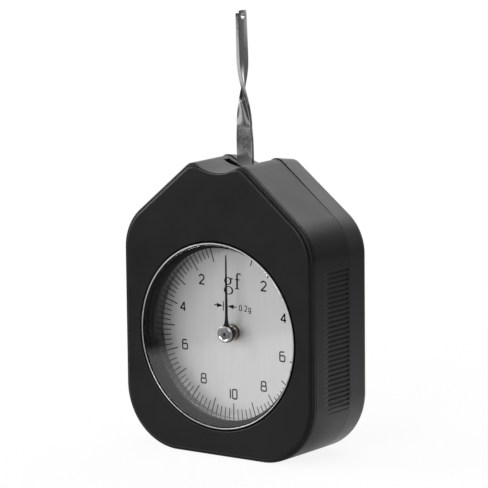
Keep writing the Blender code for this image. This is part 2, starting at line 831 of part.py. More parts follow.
def lever_width(z):
    """Width of the lever at height z: a round eye, a straight root, a waist and a slim tip."""
    below = lever_pivot_height - z
    if below > -lever_eye_radius:
        eye = math.sqrt(max(lever_eye_radius ** 2 - below ** 2, 0))
    else:
        eye = 0
    if z < lever_neck_start:
        strip = lever_root_width
    elif z < lever_twist_start:
        share = (z - lever_neck_start) / (lever_twist_start - lever_neck_start)
        middle = (lever_root_width + lever_neck_width) / 2
        strip = lever_root_width - (lever_root_width - middle) * share ** 2
    elif z < lever_twist_end:
        share = (z - lever_twist_start) / (lever_twist_end - lever_twist_start)
        middle = (lever_root_width + lever_neck_width) / 2
        strip = middle - (middle - lever_neck_width) * share * (2 - share)
    else:
        share = (z - lever_twist_end) / (lever_top - lever_twist_end)
        strip = lever_neck_width - (lever_neck_width - lever_tip_width) * share
    return max(2 * eye, strip if below < 0 else 0)


def lever_turn(z):
    """Turn of the section about the lever's length: a quarter turn between two heights."""
    share = (z - lever_twist_start) / (lever_twist_end - lever_twist_start)
    share = min(max(share, 0), 1)
    return -math.pi / 2 * share * share * (3 - 2 * share)


def lever_lean(z):
    """Place of the blade's middle in X: outside the case it leans to the left, up to the tip."""
    return -lever_tip_lean * max(z - body_height, 0) / (lever_top - body_height)


def lever_heights():
    heights = [lever_pivot_height - lever_eye_radius * math.cos(math.pi / 2 * k / eye_facets)
               for k in range(1, eye_facets + 1)]
    heights += [lever_pivot_height + lever_eye_radius * share for share in lever_eye_shares]
    heights += [body_height, lever_neck_start, (lever_neck_start + lever_twist_start) / 2]
    heights += [lever_twist_start + (lever_twist_end - lever_twist_start) * k / twist_facets
                for k in range(twist_facets + 1)]
    heights.append(lever_top - lever_tip_round)
    return heights


def make_lever():
    rings = []
    edge = lever_edge
    half = lever_thickness / 2

    def section(z, width):
        turn = Matrix.Rotation(lever_turn(z), 4, "Z")
        w = width / 2
        flat = [(-w, half - edge), (-w, edge - half), (edge - w, -half), (w - edge, -half),
                (w, edge - half), (w, half - edge), (w - edge, half), (edge - w, half)]
        place = Vector((lever_lean(z), 0, z - lever_pivot_height))
        return [turn @ Vector((u, v, 0)) + place for u, v in flat]

    for z in lever_heights():
        rings.append(section(z, lever_width(z)))
    for k in range(1, tip_facets + 1):
        angle = math.pi / 2 * k / tip_facets
        rise = lever_tip_round * math.sin(angle)
        drop = 2 * lever_tip_round * (1 - math.cos(angle))
        rings.append(section(lever_top - lever_tip_round + rise, lever_tip_width - drop))
    lever = loft_rings("lever", rings)
    lever.location = (0, lever_y, lever_pivot_height)
    eye = hub_radius + press_gap
    cut(lever, cylinders("lever_eye", eye, lever_y - overrun, lever_y + overrun, [(0, lever_pivot_height)],
                         post_facets))
    hole = cylinders("tip_hole", lever_hole_radius, -overrun, overrun, [(0, 0)])
    hole.rotation_euler = (0, 0, math.pi / 2)
    hole_height = lever_top - lever_hole_from_top
    hole.location = (lever_lean(hole_height), lever_y, hole_height)
    cut(lever, hole)
    return finish_piece(lever, chrome)


def make_lever_carrier():
    """Shaft across the plates, and the hub that ties the lever and the sector to it."""
    start_y = front_plate_y + shaft_end
    length = rear_plate_back_y + seat_gap + shaft_end - start_y
    edge = shaft_radius * edge_share
    shaft = turned("lever_shaft", [(0, length), (shaft_radius - edge, length), (shaft_radius, length - edge),
                                   (shaft_radius, edge), (shaft_radius - edge, 0), (0, 0)],
                   start_y, 0, lever_pivot_height)
    finish_piece(shaft, steel)
    hub_y = lever_y - lever_thickness / 2 - hub_end
    front = collar_y - hub_y
    back = front + hub_collar
    end = sector_y + sector_thickness / 2 + hub_end - hub_y
    bore = shaft_radius + press_gap
    hub = turned("lever_hub", [(hub_radius, end), (hub_radius, back), (hub_collar_radius, back),
                               (hub_collar_radius, front), (hub_radius, front), (hub_radius, 0),
                               (bore, 0), (bore, end)], hub_y, 0, lever_pivot_height, ring=True)
    finish_piece(hub, brass)


def involute_angle(radius, base):
    """Angle that an involute has turned through where it reaches the radius."""
    if radius <= base:
        return 0
    stretch = math.sqrt((radius / base) ** 2 - 1)
    return stretch - math.atan(stretch)


def tooth_flank(teeth, addendum):
    """Half tooth as (radius, angle from its middle), root to tip."""
    pitch = gear_module * teeth / 2
    base = pitch * math.cos(pressure_angle)
    half = tooth_share * gear_module / 2 / pitch + involute_angle(pitch, base)
    root = pitch - dedendum_share * gear_module
    start = max(base, root)
    rise = pitch + addendum - start
    radii = [root] + [start + rise * k / flank_facets for k in range(flank_facets + 1)]
    return [(radius, half - involute_angle(radius, base)) for radius in radii]


def tooth_points(middle, flank):
    left = [(radius, middle - angle) for radius, angle in flank]
    right = [(radius, middle + angle) for radius, angle in reversed(flank)]
    return [(radius * math.sin(angle), radius * math.cos(angle)) for radius, angle in left + right]


def make_pinion():
    """Teeth clockwise from above the axis, turned so that a gap meets the sector's middle tooth."""
    flank = tooth_flank(pinion_teeth, pinion_addendum_share * gear_module)
    outline = []
    for k in range(pinion_teeth):
        outline += tooth_points(2 * math.pi * (k + 0.5) / pinion_teeth, flank)
    hole = circle(arbor_radius + press_gap)
    width = sector_thickness + 2 * pinion_overlap
    pinion = flat_piece("pinion", [outline, hole], width, sector_y, 0, dial_height)
    return finish_piece(pinion, brass)


def make_sector():
    """Sector hanging from the lever's shaft, with its middle tooth straight down."""
    flank = tooth_flank(sector_teeth, sector_addendum_share * gear_module)
    pitch = gear_module * sector_teeth / 2
    step = 2 * math.pi / sector_teeth
    outline = []
    for k in range(sector_cut_teeth):
        outline += tooth_points(step * (k - (sector_cut_teeth - 1) / 2), flank)
    outline = [(x, -z) for x, z in outline]
    rim_radius = pitch - dedendum_share * gear_module
    reach = step * sector_cut_teeth / 2
    hub = hub_radius + press_gap + sector_hub_wall
    outline.append((rim_radius * math.sin(reach), -rim_radius * math.cos(reach)))
    waist = rim_radius - sector_rim
    outline.append((waist * math.sin(reach), -waist * math.cos(reach)))
    lean = math.pi / 2 - math.acos(min(hub / waist, 1))
    outline += arc((0, 0), hub, lean - reach, math.pi + reach - lean, sector_hub_facets)
    outline.append((-waist * math.sin(reach), -waist * math.cos(reach)))
    outline.append((-rim_radius * math.sin(reach), -rim_radius * math.cos(reach)))
    down = -math.pi / 2
    window_turn = reach - 2 * sector_arm / waist
    window_top = hub + sector_hub_wall
    window_top_turn = window_turn * window_top / waist
    window_outer = arc((0, 0), waist, down - window_turn, down + window_turn, window_facets)
    window_inner = arc((0, 0), window_top, down + window_top_turn, down - window_top_turn, window_facets // 2)
    hole = circle(hub_radius + press_gap)
    sector = flat_piece("sector_gear", [outline, window_outer + window_inner, hole], sector_thickness,
                        sector_y, 0, lever_pivot_height)
    return finish_piece(sector, brass)


def make_pointer_group():
    hub_y = lens_y + lens_thickness + pointer_lens_gap
    neck_end = dial_y - nose_height - pointer_neck_gap - hub_y
    bore = arbor_radius + press_gap
    edge = pointer_hub_head * edge_share
    hub = turned("pointer_hub", [(pointer_neck_radius, neck_end), (pointer_neck_radius, pointer_hub_head),
                                 (pointer_hub_radius, pointer_hub_head), (pointer_hub_radius, edge),
                                 (pointer_hub_radius - edge, 0), (bore, 0), (bore, neck_end)],
                 hub_y, 0, dial_height, hub_facets, ring=True)
    finish_piece(hub, chrome)
    eye_hole = pointer_neck_radius + press_gap
    eye = eye_hole + pointer_eye_wall
    root = math.asin(pointer_root_width / 2 / eye)
    outline = arc((0, 0), eye, math.pi / 2 + root, 5 * math.pi / 2 - root, pointer_eye_facets)
    tip_z = sleeve_radius - pointer_end_gap
    outline += [(pointer_blade_width / 2, pointer_flare), (pointer_tip_width / 2, tip_z),
                (-pointer_tip_width / 2, tip_z), (-pointer_blade_width / 2, pointer_flare)]
    pointer_y = hub_y + pointer_hub_head + seat_gap + pointer_thickness / 2
    pointer = flat_piece("pointer", [outline, circle(eye_hole)], pointer_thickness, pointer_y, 0, dial_height)
    finish_piece(pointer, gloss_black)
    arbor_y = hub_y + arbor_recess
    length = rear_plate_back_y + seat_gap + shaft_end - arbor_y
    edge = arbor_radius * edge_share
    arbor = turned("pointer_arbor", [(0, length), (arbor_radius - edge, length), (arbor_radius, length - edge),
                                     (arbor_radius, edge), (arbor_radius - edge, 0), (0, 0)],
                   arbor_y, 0, dial_height)
    finish_piece(arbor, steel)


def make_hairspring():
    """Flat spiral strip behind the pinion, its collet on the arbor and its stud in the rear plate."""
    space = rear_plate_y - sector_y - sector_thickness / 2 - pinion_overlap
    spring_y = rear_plate_y - spring_place_share * space
    turns = 2 * math.pi * spring_turns
    steps = int(spring_turns * spring_facets)
    inner = []
    outer = []
    for k in range(steps + 1):
        angle = turns * k / steps
        radius = spring_radius(angle)
        half = spring_strip / 2
        outer.append(((radius + half) * math.sin(angle), (radius + half) * math.cos(angle)))
        inner.append(((radius - half) * math.sin(angle), (radius - half) * math.cos(angle)))
    spring = flat_piece("hairspring", [outer + inner[::-1]], spring_height, spring_y, 0, dial_height)
    finish_piece(spring, spring_steel)

    bore = arbor_radius + press_gap
    length = collet_length_share * space
    collet = turned("hairspring_collet", ring_profile(bore, bore + collet_wall, length),
                    spring_y - length / 2, 0, dial_height, ring=True)
    finish_piece(collet, brass)

    end_x, end_z = spring_end()
    stud_y = spring_y - spring_height / 2 - seat_gap
    length = rear_plate_back_y + seat_gap - stud_y
    edge = stud_radius * edge_share
    stud = turned("hairspring_stud", [(0, length), (stud_radius - edge, length), (stud_radius, length - edge),
                                      (stud_radius, 0), (0, 0)], stud_y, end_x, end_z, post_facets)
    slit_end_y = spring_y + spring_height / 2 + seat_gap
    slit_start_y = stud_y - overrun
    cut(stud, box("stud_slit", 2 * stud_radius + overrun, slit_end_y - slit_start_y,
                  spring_strip + 2 * press_gap, (end_x, (slit_start_y + slit_end_y) / 2, end_z), tools))
    finish_piece(stud, brass)


make_front_case()
make_rear_cover()
make_case_screws()
make_bezel()
make_dial_group()
make_plates()
make_pillars()
small_screws("pillar_screw", rear_plate_back_y + seat_gap, pillar_places, steel)
small_screws("movement_screw", front_plate_back_y + seat_gap, boss_places, steel)
make_stop_pins()
make_bushes()
make_lever()
make_lever_carrier()
make_sector()
make_pinion()
make_pointer_group()
make_hairspring()
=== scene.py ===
# %% [markdown]
# # Dial tension gauge
# A hand gauge that measures small forces. Its moulded black case carries a glazed dial, and
# a twisted steel lever stands out of its top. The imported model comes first. It fixes every
# size and joint, so all that is added here is placed in its metres.

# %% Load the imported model
import json

import bmesh
import bpy
import numpy as np
from mathutils import Matrix, Vector
from mathutils.geometry import delaunay_2d_cdt


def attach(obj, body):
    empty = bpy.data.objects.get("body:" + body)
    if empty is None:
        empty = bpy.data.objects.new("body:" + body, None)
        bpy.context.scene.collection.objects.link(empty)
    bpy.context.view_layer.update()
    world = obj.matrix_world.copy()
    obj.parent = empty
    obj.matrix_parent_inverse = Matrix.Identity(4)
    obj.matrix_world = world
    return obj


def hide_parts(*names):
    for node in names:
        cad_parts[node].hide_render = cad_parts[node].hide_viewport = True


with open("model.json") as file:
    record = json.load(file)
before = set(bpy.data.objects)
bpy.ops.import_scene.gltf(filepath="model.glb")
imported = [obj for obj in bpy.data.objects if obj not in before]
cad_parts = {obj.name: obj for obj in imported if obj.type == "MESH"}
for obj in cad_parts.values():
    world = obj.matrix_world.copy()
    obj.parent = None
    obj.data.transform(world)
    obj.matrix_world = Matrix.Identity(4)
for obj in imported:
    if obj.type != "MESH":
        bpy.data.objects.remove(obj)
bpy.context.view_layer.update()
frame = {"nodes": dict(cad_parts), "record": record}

nodes = frame["nodes"]
scene = bpy.context.scene
mm = 0.001

# %% [markdown]
# ## The camera
# The photograph was taken from a little above and from the right, with a long lens, so
# lines that recede stay nearly parallel. The view is written as two angles and a small
# roll, and the camera's axes are worked out from them, which keeps the numbers readable.

# %% Camera
azimuth, elevation, roll = np.radians([35.952, 9.010, -0.618])
camera_place = np.array([0.450778, -0.621665, 0.175901])
focal_length = 220.46
sensor_width = 36.0
nearest_seen = 0.01

back = np.array([np.sin(azimuth) * np.cos(elevation), -np.cos(azimuth) * np.cos(elevation),
                 np.sin(elevation)])
level_right = np.array([np.cos(azimuth), np.sin(azimuth), 0.0])
level_up = np.cross(back, level_right)
right = np.cos(roll) * level_right + np.sin(roll) * level_up
up = np.cos(roll) * level_up - np.sin(roll) * level_right

camera_data = bpy.data.cameras.new("camera")
camera_data.lens = focal_length
camera_data.sensor_width = sensor_width
camera_data.clip_start = nearest_seen
camera = bpy.data.objects.new("camera", camera_data)
scene.collection.objects.link(camera)
axes = np.eye(4)
axes[:3, 0], axes[:3, 1], axes[:3, 2], axes[:3, 3] = right, up, back, camera_place
camera.matrix_world = Matrix(axes.tolist())
scene.camera = camera
print("Camera looks along", np.round(-back, 3))

# %% [markdown]
# ## Tools for materials
# A material is a small graph of nodes. The same few steps come back in all of them: a noise
# over the object's own metres, a ramp that turns it into grey levels, and a bump. Written
# once as functions, they leave each material a few lines that can be read as a recipe.

# %% Helpers for shader nodes
def new_material(name):
    """Empty material: returns it with its node tree and its Principled shader."""
    made = bpy.data.materials.new(name)
    made.use_nodes = True
    return made, made.node_tree, made.node_tree.nodes["Principled BSDF"]


def node(tree, kind, **values):
    """Adds a node and sets its properties and its sockets, whose names have _ for a space."""
    made = tree.nodes.new(kind)
    for key, value in values.items():
        if hasattr(made, key):
            setattr(made, key, value)
        else:
            made.inputs[key.replace("_", " ")].default_value = value
    return made


def object_place(tree):
    """Vector socket with the place of each point in its object's own metres."""
    return node(tree, "ShaderNodeTexCoord").outputs["Object"]


def axis_value(tree, source, axis):
    """One coordinate of a vector socket, by its letter."""
    made = node(tree, "ShaderNodeSeparateXYZ")
    tree.links.new(source, made.inputs[0])
    return made.outputs[axis]


def along_direction(tree, source, direction):
    """Dot product of a vector socket with a fixed direction."""
    made = node(tree, "ShaderNodeVectorMath", operation="DOT_PRODUCT")
    made.inputs[1].default_value = direction
    tree.links.new(source, made.inputs[0])
    return made.outputs["Value"]


def length_of(tree, source):
    """Length of a vector socket: the root of the sum of its squared coordinates."""
    made = node(tree, "ShaderNodeVectorMath", operation="LENGTH")
    tree.links.new(source, made.inputs[0])
    return made.outputs["Value"]


def combined(tree, operation, first, second):
    """Two number sockets joined by a Math node, such as MULTIPLY or ADD."""
    made = node(tree, "ShaderNodeMath", operation=operation)
    tree.links.new(first, made.inputs[0])
    tree.links.new(second, made.inputs[1])
    return made.outputs[0]


def ramp(tree, source, stops):
    """Colour ramp from source through grey levels given as (place, level)."""
    made = tree.nodes.new("ShaderNodeValToRGB")
    band = made.color_ramp.elements
    while len(band) < len(stops):
        band.new(0.5)
    for element, (place, level) in zip(band, stops):
        element.position = place
        element.color = (level, level, level, 1.0)
    tree.links.new(source, made.inputs["Fac"])
    return made.outputs["Color"]


def between(tree, source, start, end, first, last):
    """Level that goes evenly from first to last while source goes from start to end."""
    made = node(tree, "ShaderNodeMapRange", From_Min=start, From_Max=end, To_Min=first, To_Max=last)
    tree.links.new(source, made.inputs["Value"])
    return made.outputs[0]


def noise(tree, source, scale, detail, roughness=0.5):
    """Cloudy noise from 0 to 1 with about scale waves in a metre of source."""
    made = node(tree, "ShaderNodeTexNoise", Scale=scale, Detail=detail, Roughness=roughness)
    tree.links.new(source, made.inputs["Vector"])
    return made.outputs["Fac"]


def stretched(tree, source, scales):
    """A vector socket with each coordinate times its own scale."""
    made = node(tree, "ShaderNodeMapping")
    made.inputs["Scale"].default_value = scales
    tree.links.new(source, made.inputs["Vector"])
    return made.outputs[0]


def varied(tree, shader, socket, source, low, high, start=0.3):
    """Lets a shader's socket go from low to high while source goes from start to 1 - start."""
    tree.links.new(ramp(tree, source, [(start, low), (1 - start, high)]), shader.inputs[socket])


def raised(tree, shader, source, strength, distance):
    """Bump on a shader, as high as source times distance."""
    made = node(tree, "ShaderNodeBump", Strength=strength, Distance=distance)
    tree.links.new(source, made.inputs["Height"])
    tree.links.new(made.outputs["Normal"], shader.inputs["Normal"])


def mix_shader(tree, share, first, second):
    """Two shaders blended: a share of 0 shows only the first and 1 only the second."""
    made = tree.nodes.new("ShaderNodeMixShader")
    tree.links.new(share, made.inputs[0])
    tree.links.new(first, made.inputs[1])
    tree.links.new(second, made.inputs[2])
    return made.outputs[0]


# %% [markdown]
# ## Light, floor and background
# A product photograph of a black object works with reflections: a white table close by, whose
# edge shows as a line across the glass, a bright room behind, a window in front, and darkness
# between them. The floor and the world could both be plain white, but then the glass would
# turn milky and the black plastic grey. So reflected rays meet light and dark bands, while
# the camera still sees white.

# %% Floor
floor_radius = 1.8
turns = np.linspace(0, 2 * np.pi, 97)[:-1]
floor_points = np.stack([floor_radius * np.cos(turns), floor_radius * np.sin(turns), 0 * turns], -1)
floor_mesh = bpy.data.meshes.new("floor")
floor_mesh.from_pydata(floor_points.tolist(), [], [list(range(len(turns)))])
floor = bpy.data.objects.new("floor", floor_mesh)
scene.collection.objects.link(floor)
print("Floor radius in m:", floor_radius)

# %% What the floor shows
# Level directions of the view past the gauge, and of the same view mirrored by its flat front.
seen_past = (-0.59, 0.81, 0.0)
seen_mirrored = (-0.59, -0.81, 0.0)

# Bands of the table in metres along a direction, each a place and a level.
card_direction = (0.94, 0.33, 0.0)
card_edge, card_blur, beyond_card = -0.133, 0.008, 0.12
lit_start, lit_end, lit_level = -0.12, 0.02, 0.8
far_bands = [(0.45, 0.0), (0.52, 0.8), (0.6, 0.8), (0.62, 0.12), (0.71, 0.16), (0.75, 0.35),
             (0.81, 0.4), (0.86, 1.2)]
depth_bands = [(0.0, 0.95), (0.02, 2.2), (0.07, 2.1), (0.195, 0.65), (0.48, 0.22)]
whitening = [(0.0, 0.88), (0.1, 0.93), (0.18, 1.0), (1.0, 1.0)]
mirrored_strength = 0.74

pale, tree, shader = new_material("pale_table")
shader.inputs["Base Color"].default_value = (0.85, 0.85, 0.85, 1)
shader.inputs["Roughness"].default_value = 0.9
shader.inputs["Specular IOR Level"].default_value = 0.0
place = object_place(tree)
on_card = between(tree, along_direction(tree, place, card_direction),
                  card_edge - card_blur, card_edge + card_blur, beyond_card, 1.0)
in_front = between(tree, axis_value(tree, place, "X"), lit_start, lit_end, 0.0, lit_level)
far_off = ramp(tree, along_direction(tree, place, seen_mirrored), far_bands)
table_level = combined(tree, "MAXIMUM", combined(tree, "MAXIMUM", on_card, in_front), far_off)
depth_level = ramp(tree, axis_value(tree, place, "Y"), depth_bands)
mirrored = node(tree, "ShaderNodeEmission", Strength=mirrored_strength)
tree.links.new(combined(tree, "MULTIPLY", table_level, depth_level), mirrored.inputs["Color"])

seen_white = node(tree, "ShaderNodeEmission", Color=(1, 1, 1, 1), Strength=1.0)
for_camera = mix_shader(tree, ramp(tree, length_of(tree, place), whitening),
                        shader.outputs[0], seen_white.outputs[0])
paths = node(tree, "ShaderNodeLightPath").outputs
shown = mix_shader(tree, paths["Is Camera Ray"], shader.outputs[0], for_camera)
shown = mix_shader(tree, paths["Is Glossy Ray"], shown, mirrored.outputs[0])
shown = mix_shader(tree, paths["Is Transmission Ray"], shown, seen_white.outputs[0])
tree.links.new(shown, tree.nodes["Material Output"].inputs["Surface"])
floor_mesh.materials.append(pale)
print("Table's bands to the left and to the back:", len(far_bands), len(depth_bands))

# %% World
window_level = 1.8
fill_level = 0.5
world = bpy.data.worlds.new("studio")
scene.world = world
world.use_nodes = True
tree = world.node_tree
tree.nodes.clear()
direction = node(tree, "ShaderNodeTexCoord").outputs["Generated"]
height = axis_value(tree, direction, "Z")
behind = ramp(tree, along_direction(tree, direction, seen_past), [(0.0, 0.08), (0.3, 0.2), (0.75, 1.6)])
overhead = ramp(tree, height, [(0.35, 0.0), (0.6, 0.2), (0.85, 0.65)])
window_sill = ramp(tree, height, [(0.01, 0.0), (0.08, 1.0)])
window_side = ramp(tree, along_direction(tree, direction, seen_mirrored),
                   [(0.35, 0.0), (0.8, window_level)])
window = combined(tree, "MULTIPLY", window_sill, window_side)
room = combined(tree, "ADD", combined(tree, "ADD", behind, overhead), window)

dim = node(tree, "ShaderNodeBackground", Strength=1.0)
tree.links.new(room, dim.inputs["Color"])
white = node(tree, "ShaderNodeBackground", Color=(1, 1, 1, 1), Strength=1.0)
fill = node(tree, "ShaderNodeBackground", Color=(1, 1, 1, 1), Strength=fill_level)
paths = node(tree, "ShaderNodeLightPath").outputs
shown = mix_shader(tree, paths["Is Diffuse Ray"], dim.outputs[0], fill.outputs[0])
shown = mix_shader(tree, paths["Is Camera Ray"], shown, white.outputs[0])
shown = mix_shader(tree, paths["Is Transmission Ray"], shown, white.outputs[0])
tree.links.new(shown, node(tree, "ShaderNodeOutputWorld").inputs["Surface"])
print("World nodes:", len(tree.nodes))


# %% Lamps
def lamp(name, place, target, size, watts):
    """Square area lamp at place that faces target and that the camera doesn't see."""
    data = bpy.data.lights.new(name, "AREA")
    data.size = size
    data.energy = watts
    made = bpy.data.objects.new(name, data)
    scene.collection.objects.link(made)
    made.location = place
    made.rotation_euler = (Vector(target) - Vector(place)).to_track_quat("-Z", "Y").to_euler()
    made.visible_camera = False


lamp("ceiling_panel", (0.05, 0.55, 0.62), (0, 0, 0.06), 0.55, 2.2)
lamp("left_panel", (-0.72, -0.45, 0.34), (0, 0, 0.04), 0.36, 4.0)
lamp("front_panel", (0.09, -0.82, 0.4), (0, 0, 0.04), 0.35, 4.0)
scene.view_settings.view_transform = "Standard"

# %% [markdown]
# ## From arrays to meshes
# Each new piece is a surface that numpy works out as a grid of points. A Blender primitive
# with modifiers would also do, but a grid keeps one formula for the whole shape, and whole
# rows can be moved at once. The helpers below turn grids into one closed, smooth mesh.

# %% Grids to meshes
merge_distance = 0.0008 * mm


def grid_faces(rows, columns, wrap_rows, wrap_columns):
    """Corner numbers of the quads between neighbouring rows and columns."""
    u, v = np.meshgrid(np.arange(rows if wrap_rows else rows - 1),
                       np.arange(columns if wrap_columns else columns - 1), indexing="ij")
    below, beside = (u + 1) % rows, (v + 1) % columns
    corners = [u * columns + v, u * columns + beside, below * columns + beside, below * columns + v]
    return np.stack(corners, -1).reshape(-1, 4)


def grid(points, wrap_rows=False, wrap_columns=False, keep=None):
    """A grid of points (rows, columns, 3) as (points, faces); keep is a mask of its faces."""
    faces = grid_faces(points.shape[0], points.shape[1], wrap_rows, wrap_columns)
    if keep is not None:
        faces = faces[keep.reshape(-1)]
    return points.reshape(-1, 3), faces


def merged_mesh(name, parts):
    """One mesh from (points, faces) pairs: merges what touches, drops points without a face
    and turns the faces outwards. Returns the mesh and its number of open edges."""
    points = np.concatenate([group for group, _ in parts]).astype(np.float64)
    starts = np.cumsum([0] + [len(group) for group, _ in parts])
    faces = []
    for (_, group), start in zip(parts, starts):
        faces += (np.asarray(group) + start).tolist()
    mesh = bpy.data.meshes.new(name)
    mesh.from_pydata(points.tolist(), [], faces)
    bm = bmesh.new()
    bm.from_mesh(mesh)
    bmesh.ops.remove_doubles(bm, verts=bm.verts, dist=merge_distance)
    loose = [v for v in bm.verts if not v.link_faces]
    bmesh.ops.delete(bm, geom=loose, context="VERTS")
    bmesh.ops.recalc_face_normals(bm, faces=bm.faces)
    open_edges = sum(1 for edge in bm.edges if len(edge.link_faces) != 2)
    bm.to_mesh(mesh)
    bm.free()
    return mesh, open_edges


def new_piece(name, parts, material, body, stands_for=(), sharp=38.0):
    """One object from (points, faces) pairs, shaded smooth apart from edges over the sharp
    angle."""
    mesh, open_edges = merged_mesh(name, parts)
    mesh.shade_smooth()
    mesh.set_sharp_from_angle(angle=np.radians(sharp))
    mesh.materials.append(material)
    made = bpy.data.objects.new(name, mesh)
    scene.collection.objects.link(made)
    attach(made, body)
    if stands_for:
        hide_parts(*stands_for)
    print(f"{name}: {len(mesh.polygons)} faces, {open_edges} open edges")


# %% Outlines and turned shapes
def at_depth(flat, y):
    """Flat points (x, z) as points in space at depth y."""
    return np.stack([flat[..., 0], np.full(flat.shape[:-1], y), flat[..., 1]], -1)


def rounded(corners, radii, steps=6, closed=False, hold=0.0):
    """Path through 2-D corners, each turned into an arc of its radius. hold adds a point that
    far from each arc on the straight beside it, which keeps a flat face's shading flat."""
    corners = np.asarray(corners, float)
    count = len(corners)
    path = []
    for k, radius in enumerate(radii):
        corner = corners[k]
        if radius == 0 or (not closed and k in (0, count - 1)):
            path.append(corner[None])
            continue
        before, after = corners[k - 1] - corner, corners[(k + 1) % count] - corner
        before, after = before / np.linalg.norm(before), after / np.linalg.norm(after)
        half = np.arccos(np.clip(before @ after, -1, 1)) / 2
        reach = radius / np.tan(half)
        middle = corner + (before + after) / np.linalg.norm(before + after) * radius / np.sin(half)
        first, last = corner + before * reach - middle, corner + after * reach - middle
        sweep = np.pi - 2 * half
        share = np.linspace(0, 1, steps + 1)[:, None]
        arc = middle + (np.sin((1 - share) * sweep) * first + np.sin(share * sweep) * last) / np.sin(sweep)
        if hold:
            arc = np.concatenate([(arc[0] + before * hold)[None], arc, (arc[-1] + after * hold)[None]])
        path.append(arc)
    return np.concatenate(path)


def turned(profile, centre, steps=144):
    """Grid of a profile of (radius, y) carried round an axis along Y through centre (x, z)."""
    profile = np.asarray(profile, float)
    angle = np.arange(steps) * 2 * np.pi / steps
    radius, y = profile[:, :1], profile[:, 1:]
    return np.stack([centre[0] + radius * np.sin(angle), y + 0 * angle,
                     centre[1] + radius * np.cos(angle)], -1)


def circle(centre, radius, steps=48):
    """Points round a circle (x, z), the first one at its top."""
    angle = np.arange(steps) * 2 * np.pi / steps
    return np.array(centre) + radius * np.stack([np.sin(angle), np.cos(angle)], -1)


# %% [markdown]
# ## Moulded black plastic
# The case is satin black plastic with the fine grain of a blasted mould. A flat black would
# look like a hole in the picture, so two noises shape it: a very fine one lifts the surface
# as bump, and a broad faint one changes the gloss a little, as real mouldings do.

# %% Plastic
def moulded_plastic(name, colour, roughness, grain, specular):
    """Plastic of one grey level. A broad noise moves its colour by a seventh and its roughness
    by 0.03 either way, and a fine noise raises it by grain."""
    made, tree, shader = new_material(name)
    place = object_place(tree)
    cloud = noise(tree, place, 90.0, 3.0, 0.6)
    fine = noise(tree, place, 5200.0, 2.0, 0.55)
    varied(tree, shader, "Base Color", cloud, colour * 0.86, colour * 1.14)
    varied(tree, shader, "Roughness", cloud, roughness - 0.03, roughness + 0.03)
    raised(tree, shader, fine, 0.35, grain)
    shader.inputs["Specular IOR Level"].default_value = specular
    return made


case_plastic = moulded_plastic("case_plastic", 0.0052, 0.4, 0.01 * mm, 0.165)
print("Plastic nodes:", len(case_plastic.node_tree.nodes))

# %% [markdown]
# ## The case's outline
# Seen from the front the case is a rounded square whose shoulders are cut off up to two
# ridges, with a shallow scoop between them for the lever. The outline is made of arcs and
# straights. A number called inset moves it inwards, so one function serves the outer wall,
# the inner wall and each line of the stepped front edge.

# %% Sizes of the case
half_width, body_height = 30.25 * mm, 77.25 * mm
half_depth = 12.75 * mm
ridge_half_width, side_height = 7.9 * mm, 58.97 * mm
base_radius, shoulder_radius, ridge_radius = 16.5 * mm, 13.55 * mm, 3.0 * mm
smallest_ridge_radius = 0.3 * mm
scoop_depth = 2.85 * mm
front_y, parting_y = -half_depth, -half_depth + 16.7025 * mm
front_draft, rear_draft = 0.25 * mm, 0.3 * mm
cover_step, cover_fall = 0.3 * mm, 0.7 * mm
scoop_radius = (ridge_half_width ** 2 + scoop_depth ** 2) / (2 * scoop_depth)
scoop_centre = body_height - scoop_depth + scoop_radius
dial_middle = (0.0, 31.65 * mm)

grip_pitch, grip_count = 1.25 * mm, 30
grip_first = 13.525 * mm
grip_z = grip_first - grip_pitch / 2 + np.linspace(0, grip_pitch * grip_count, grip_count * 12 + 1)

slot_half_length, slot_half_width = 6.111 * mm, 1.275 * mm
slot_y = 0.95 * mm
print("Scoop radius in mm:", round(scoop_radius / mm, 2))

# %% Outline
shoulder = np.array([ridge_half_width - half_width, body_height - side_height])
shoulder = shoulder / np.linalg.norm(shoulder)
facing = np.array([shoulder[1], -shoulder[0]])
slope = np.arctan2(facing[1], facing[0])
side_centre = np.array([half_width - shoulder_radius,
                        side_height - shoulder_radius * (1 - facing[0]) / facing[1]])
base_centre = np.array([half_width - base_radius, base_radius])
low_grip = grip_z[grip_z < base_radius]
high_grip = grip_z[grip_z >= base_radius]
grip_angles = np.arcsin((low_grip - base_radius) / base_radius)
base_angles = np.concatenate([np.linspace(-np.pi / 2, grip_angles[0], 25)[:-1], grip_angles])


def ring_point(centre, radius, angle):
    """Points on a circle (x, z): the centre plus the radius times the angle's cosine and sine."""
    return np.stack([centre[0] + radius * np.cos(angle), centre[1] + radius * np.sin(angle)], -1)


def ridge_arc(inset):
    """Middle, radius and end angle of the small round between the shoulder and the scoop. It
    lies as far inside the shoulder's line as it lies outside the scoop's circle."""
    radius = max(ridge_radius - inset, smallest_ridge_radius)
    offset = radius + inset
    start = np.array([half_width, side_height]) - offset * facing - np.array([0, scoop_centre])
    across = start @ shoulder
    reach = np.sqrt(across ** 2 - start @ start + (scoop_radius + offset) ** 2)
    middle = np.array([0, scoop_centre]) + start - (across + reach) * shoulder
    to_scoop = np.array([0, scoop_centre]) - middle
    return middle, radius, np.arctan2(to_scoop[1], to_scoop[0])


scoop_end = ridge_arc(0.0)[2] - np.pi
slot_turn = -np.pi / 2 + np.arcsin(slot_half_length / scoop_radius)
slot_share = (slot_turn + np.pi / 2) / (scoop_end + np.pi / 2)
scoop_shares = np.concatenate([np.linspace(1, slot_share, 9), np.linspace(slot_share, 0, 9)[1:]])


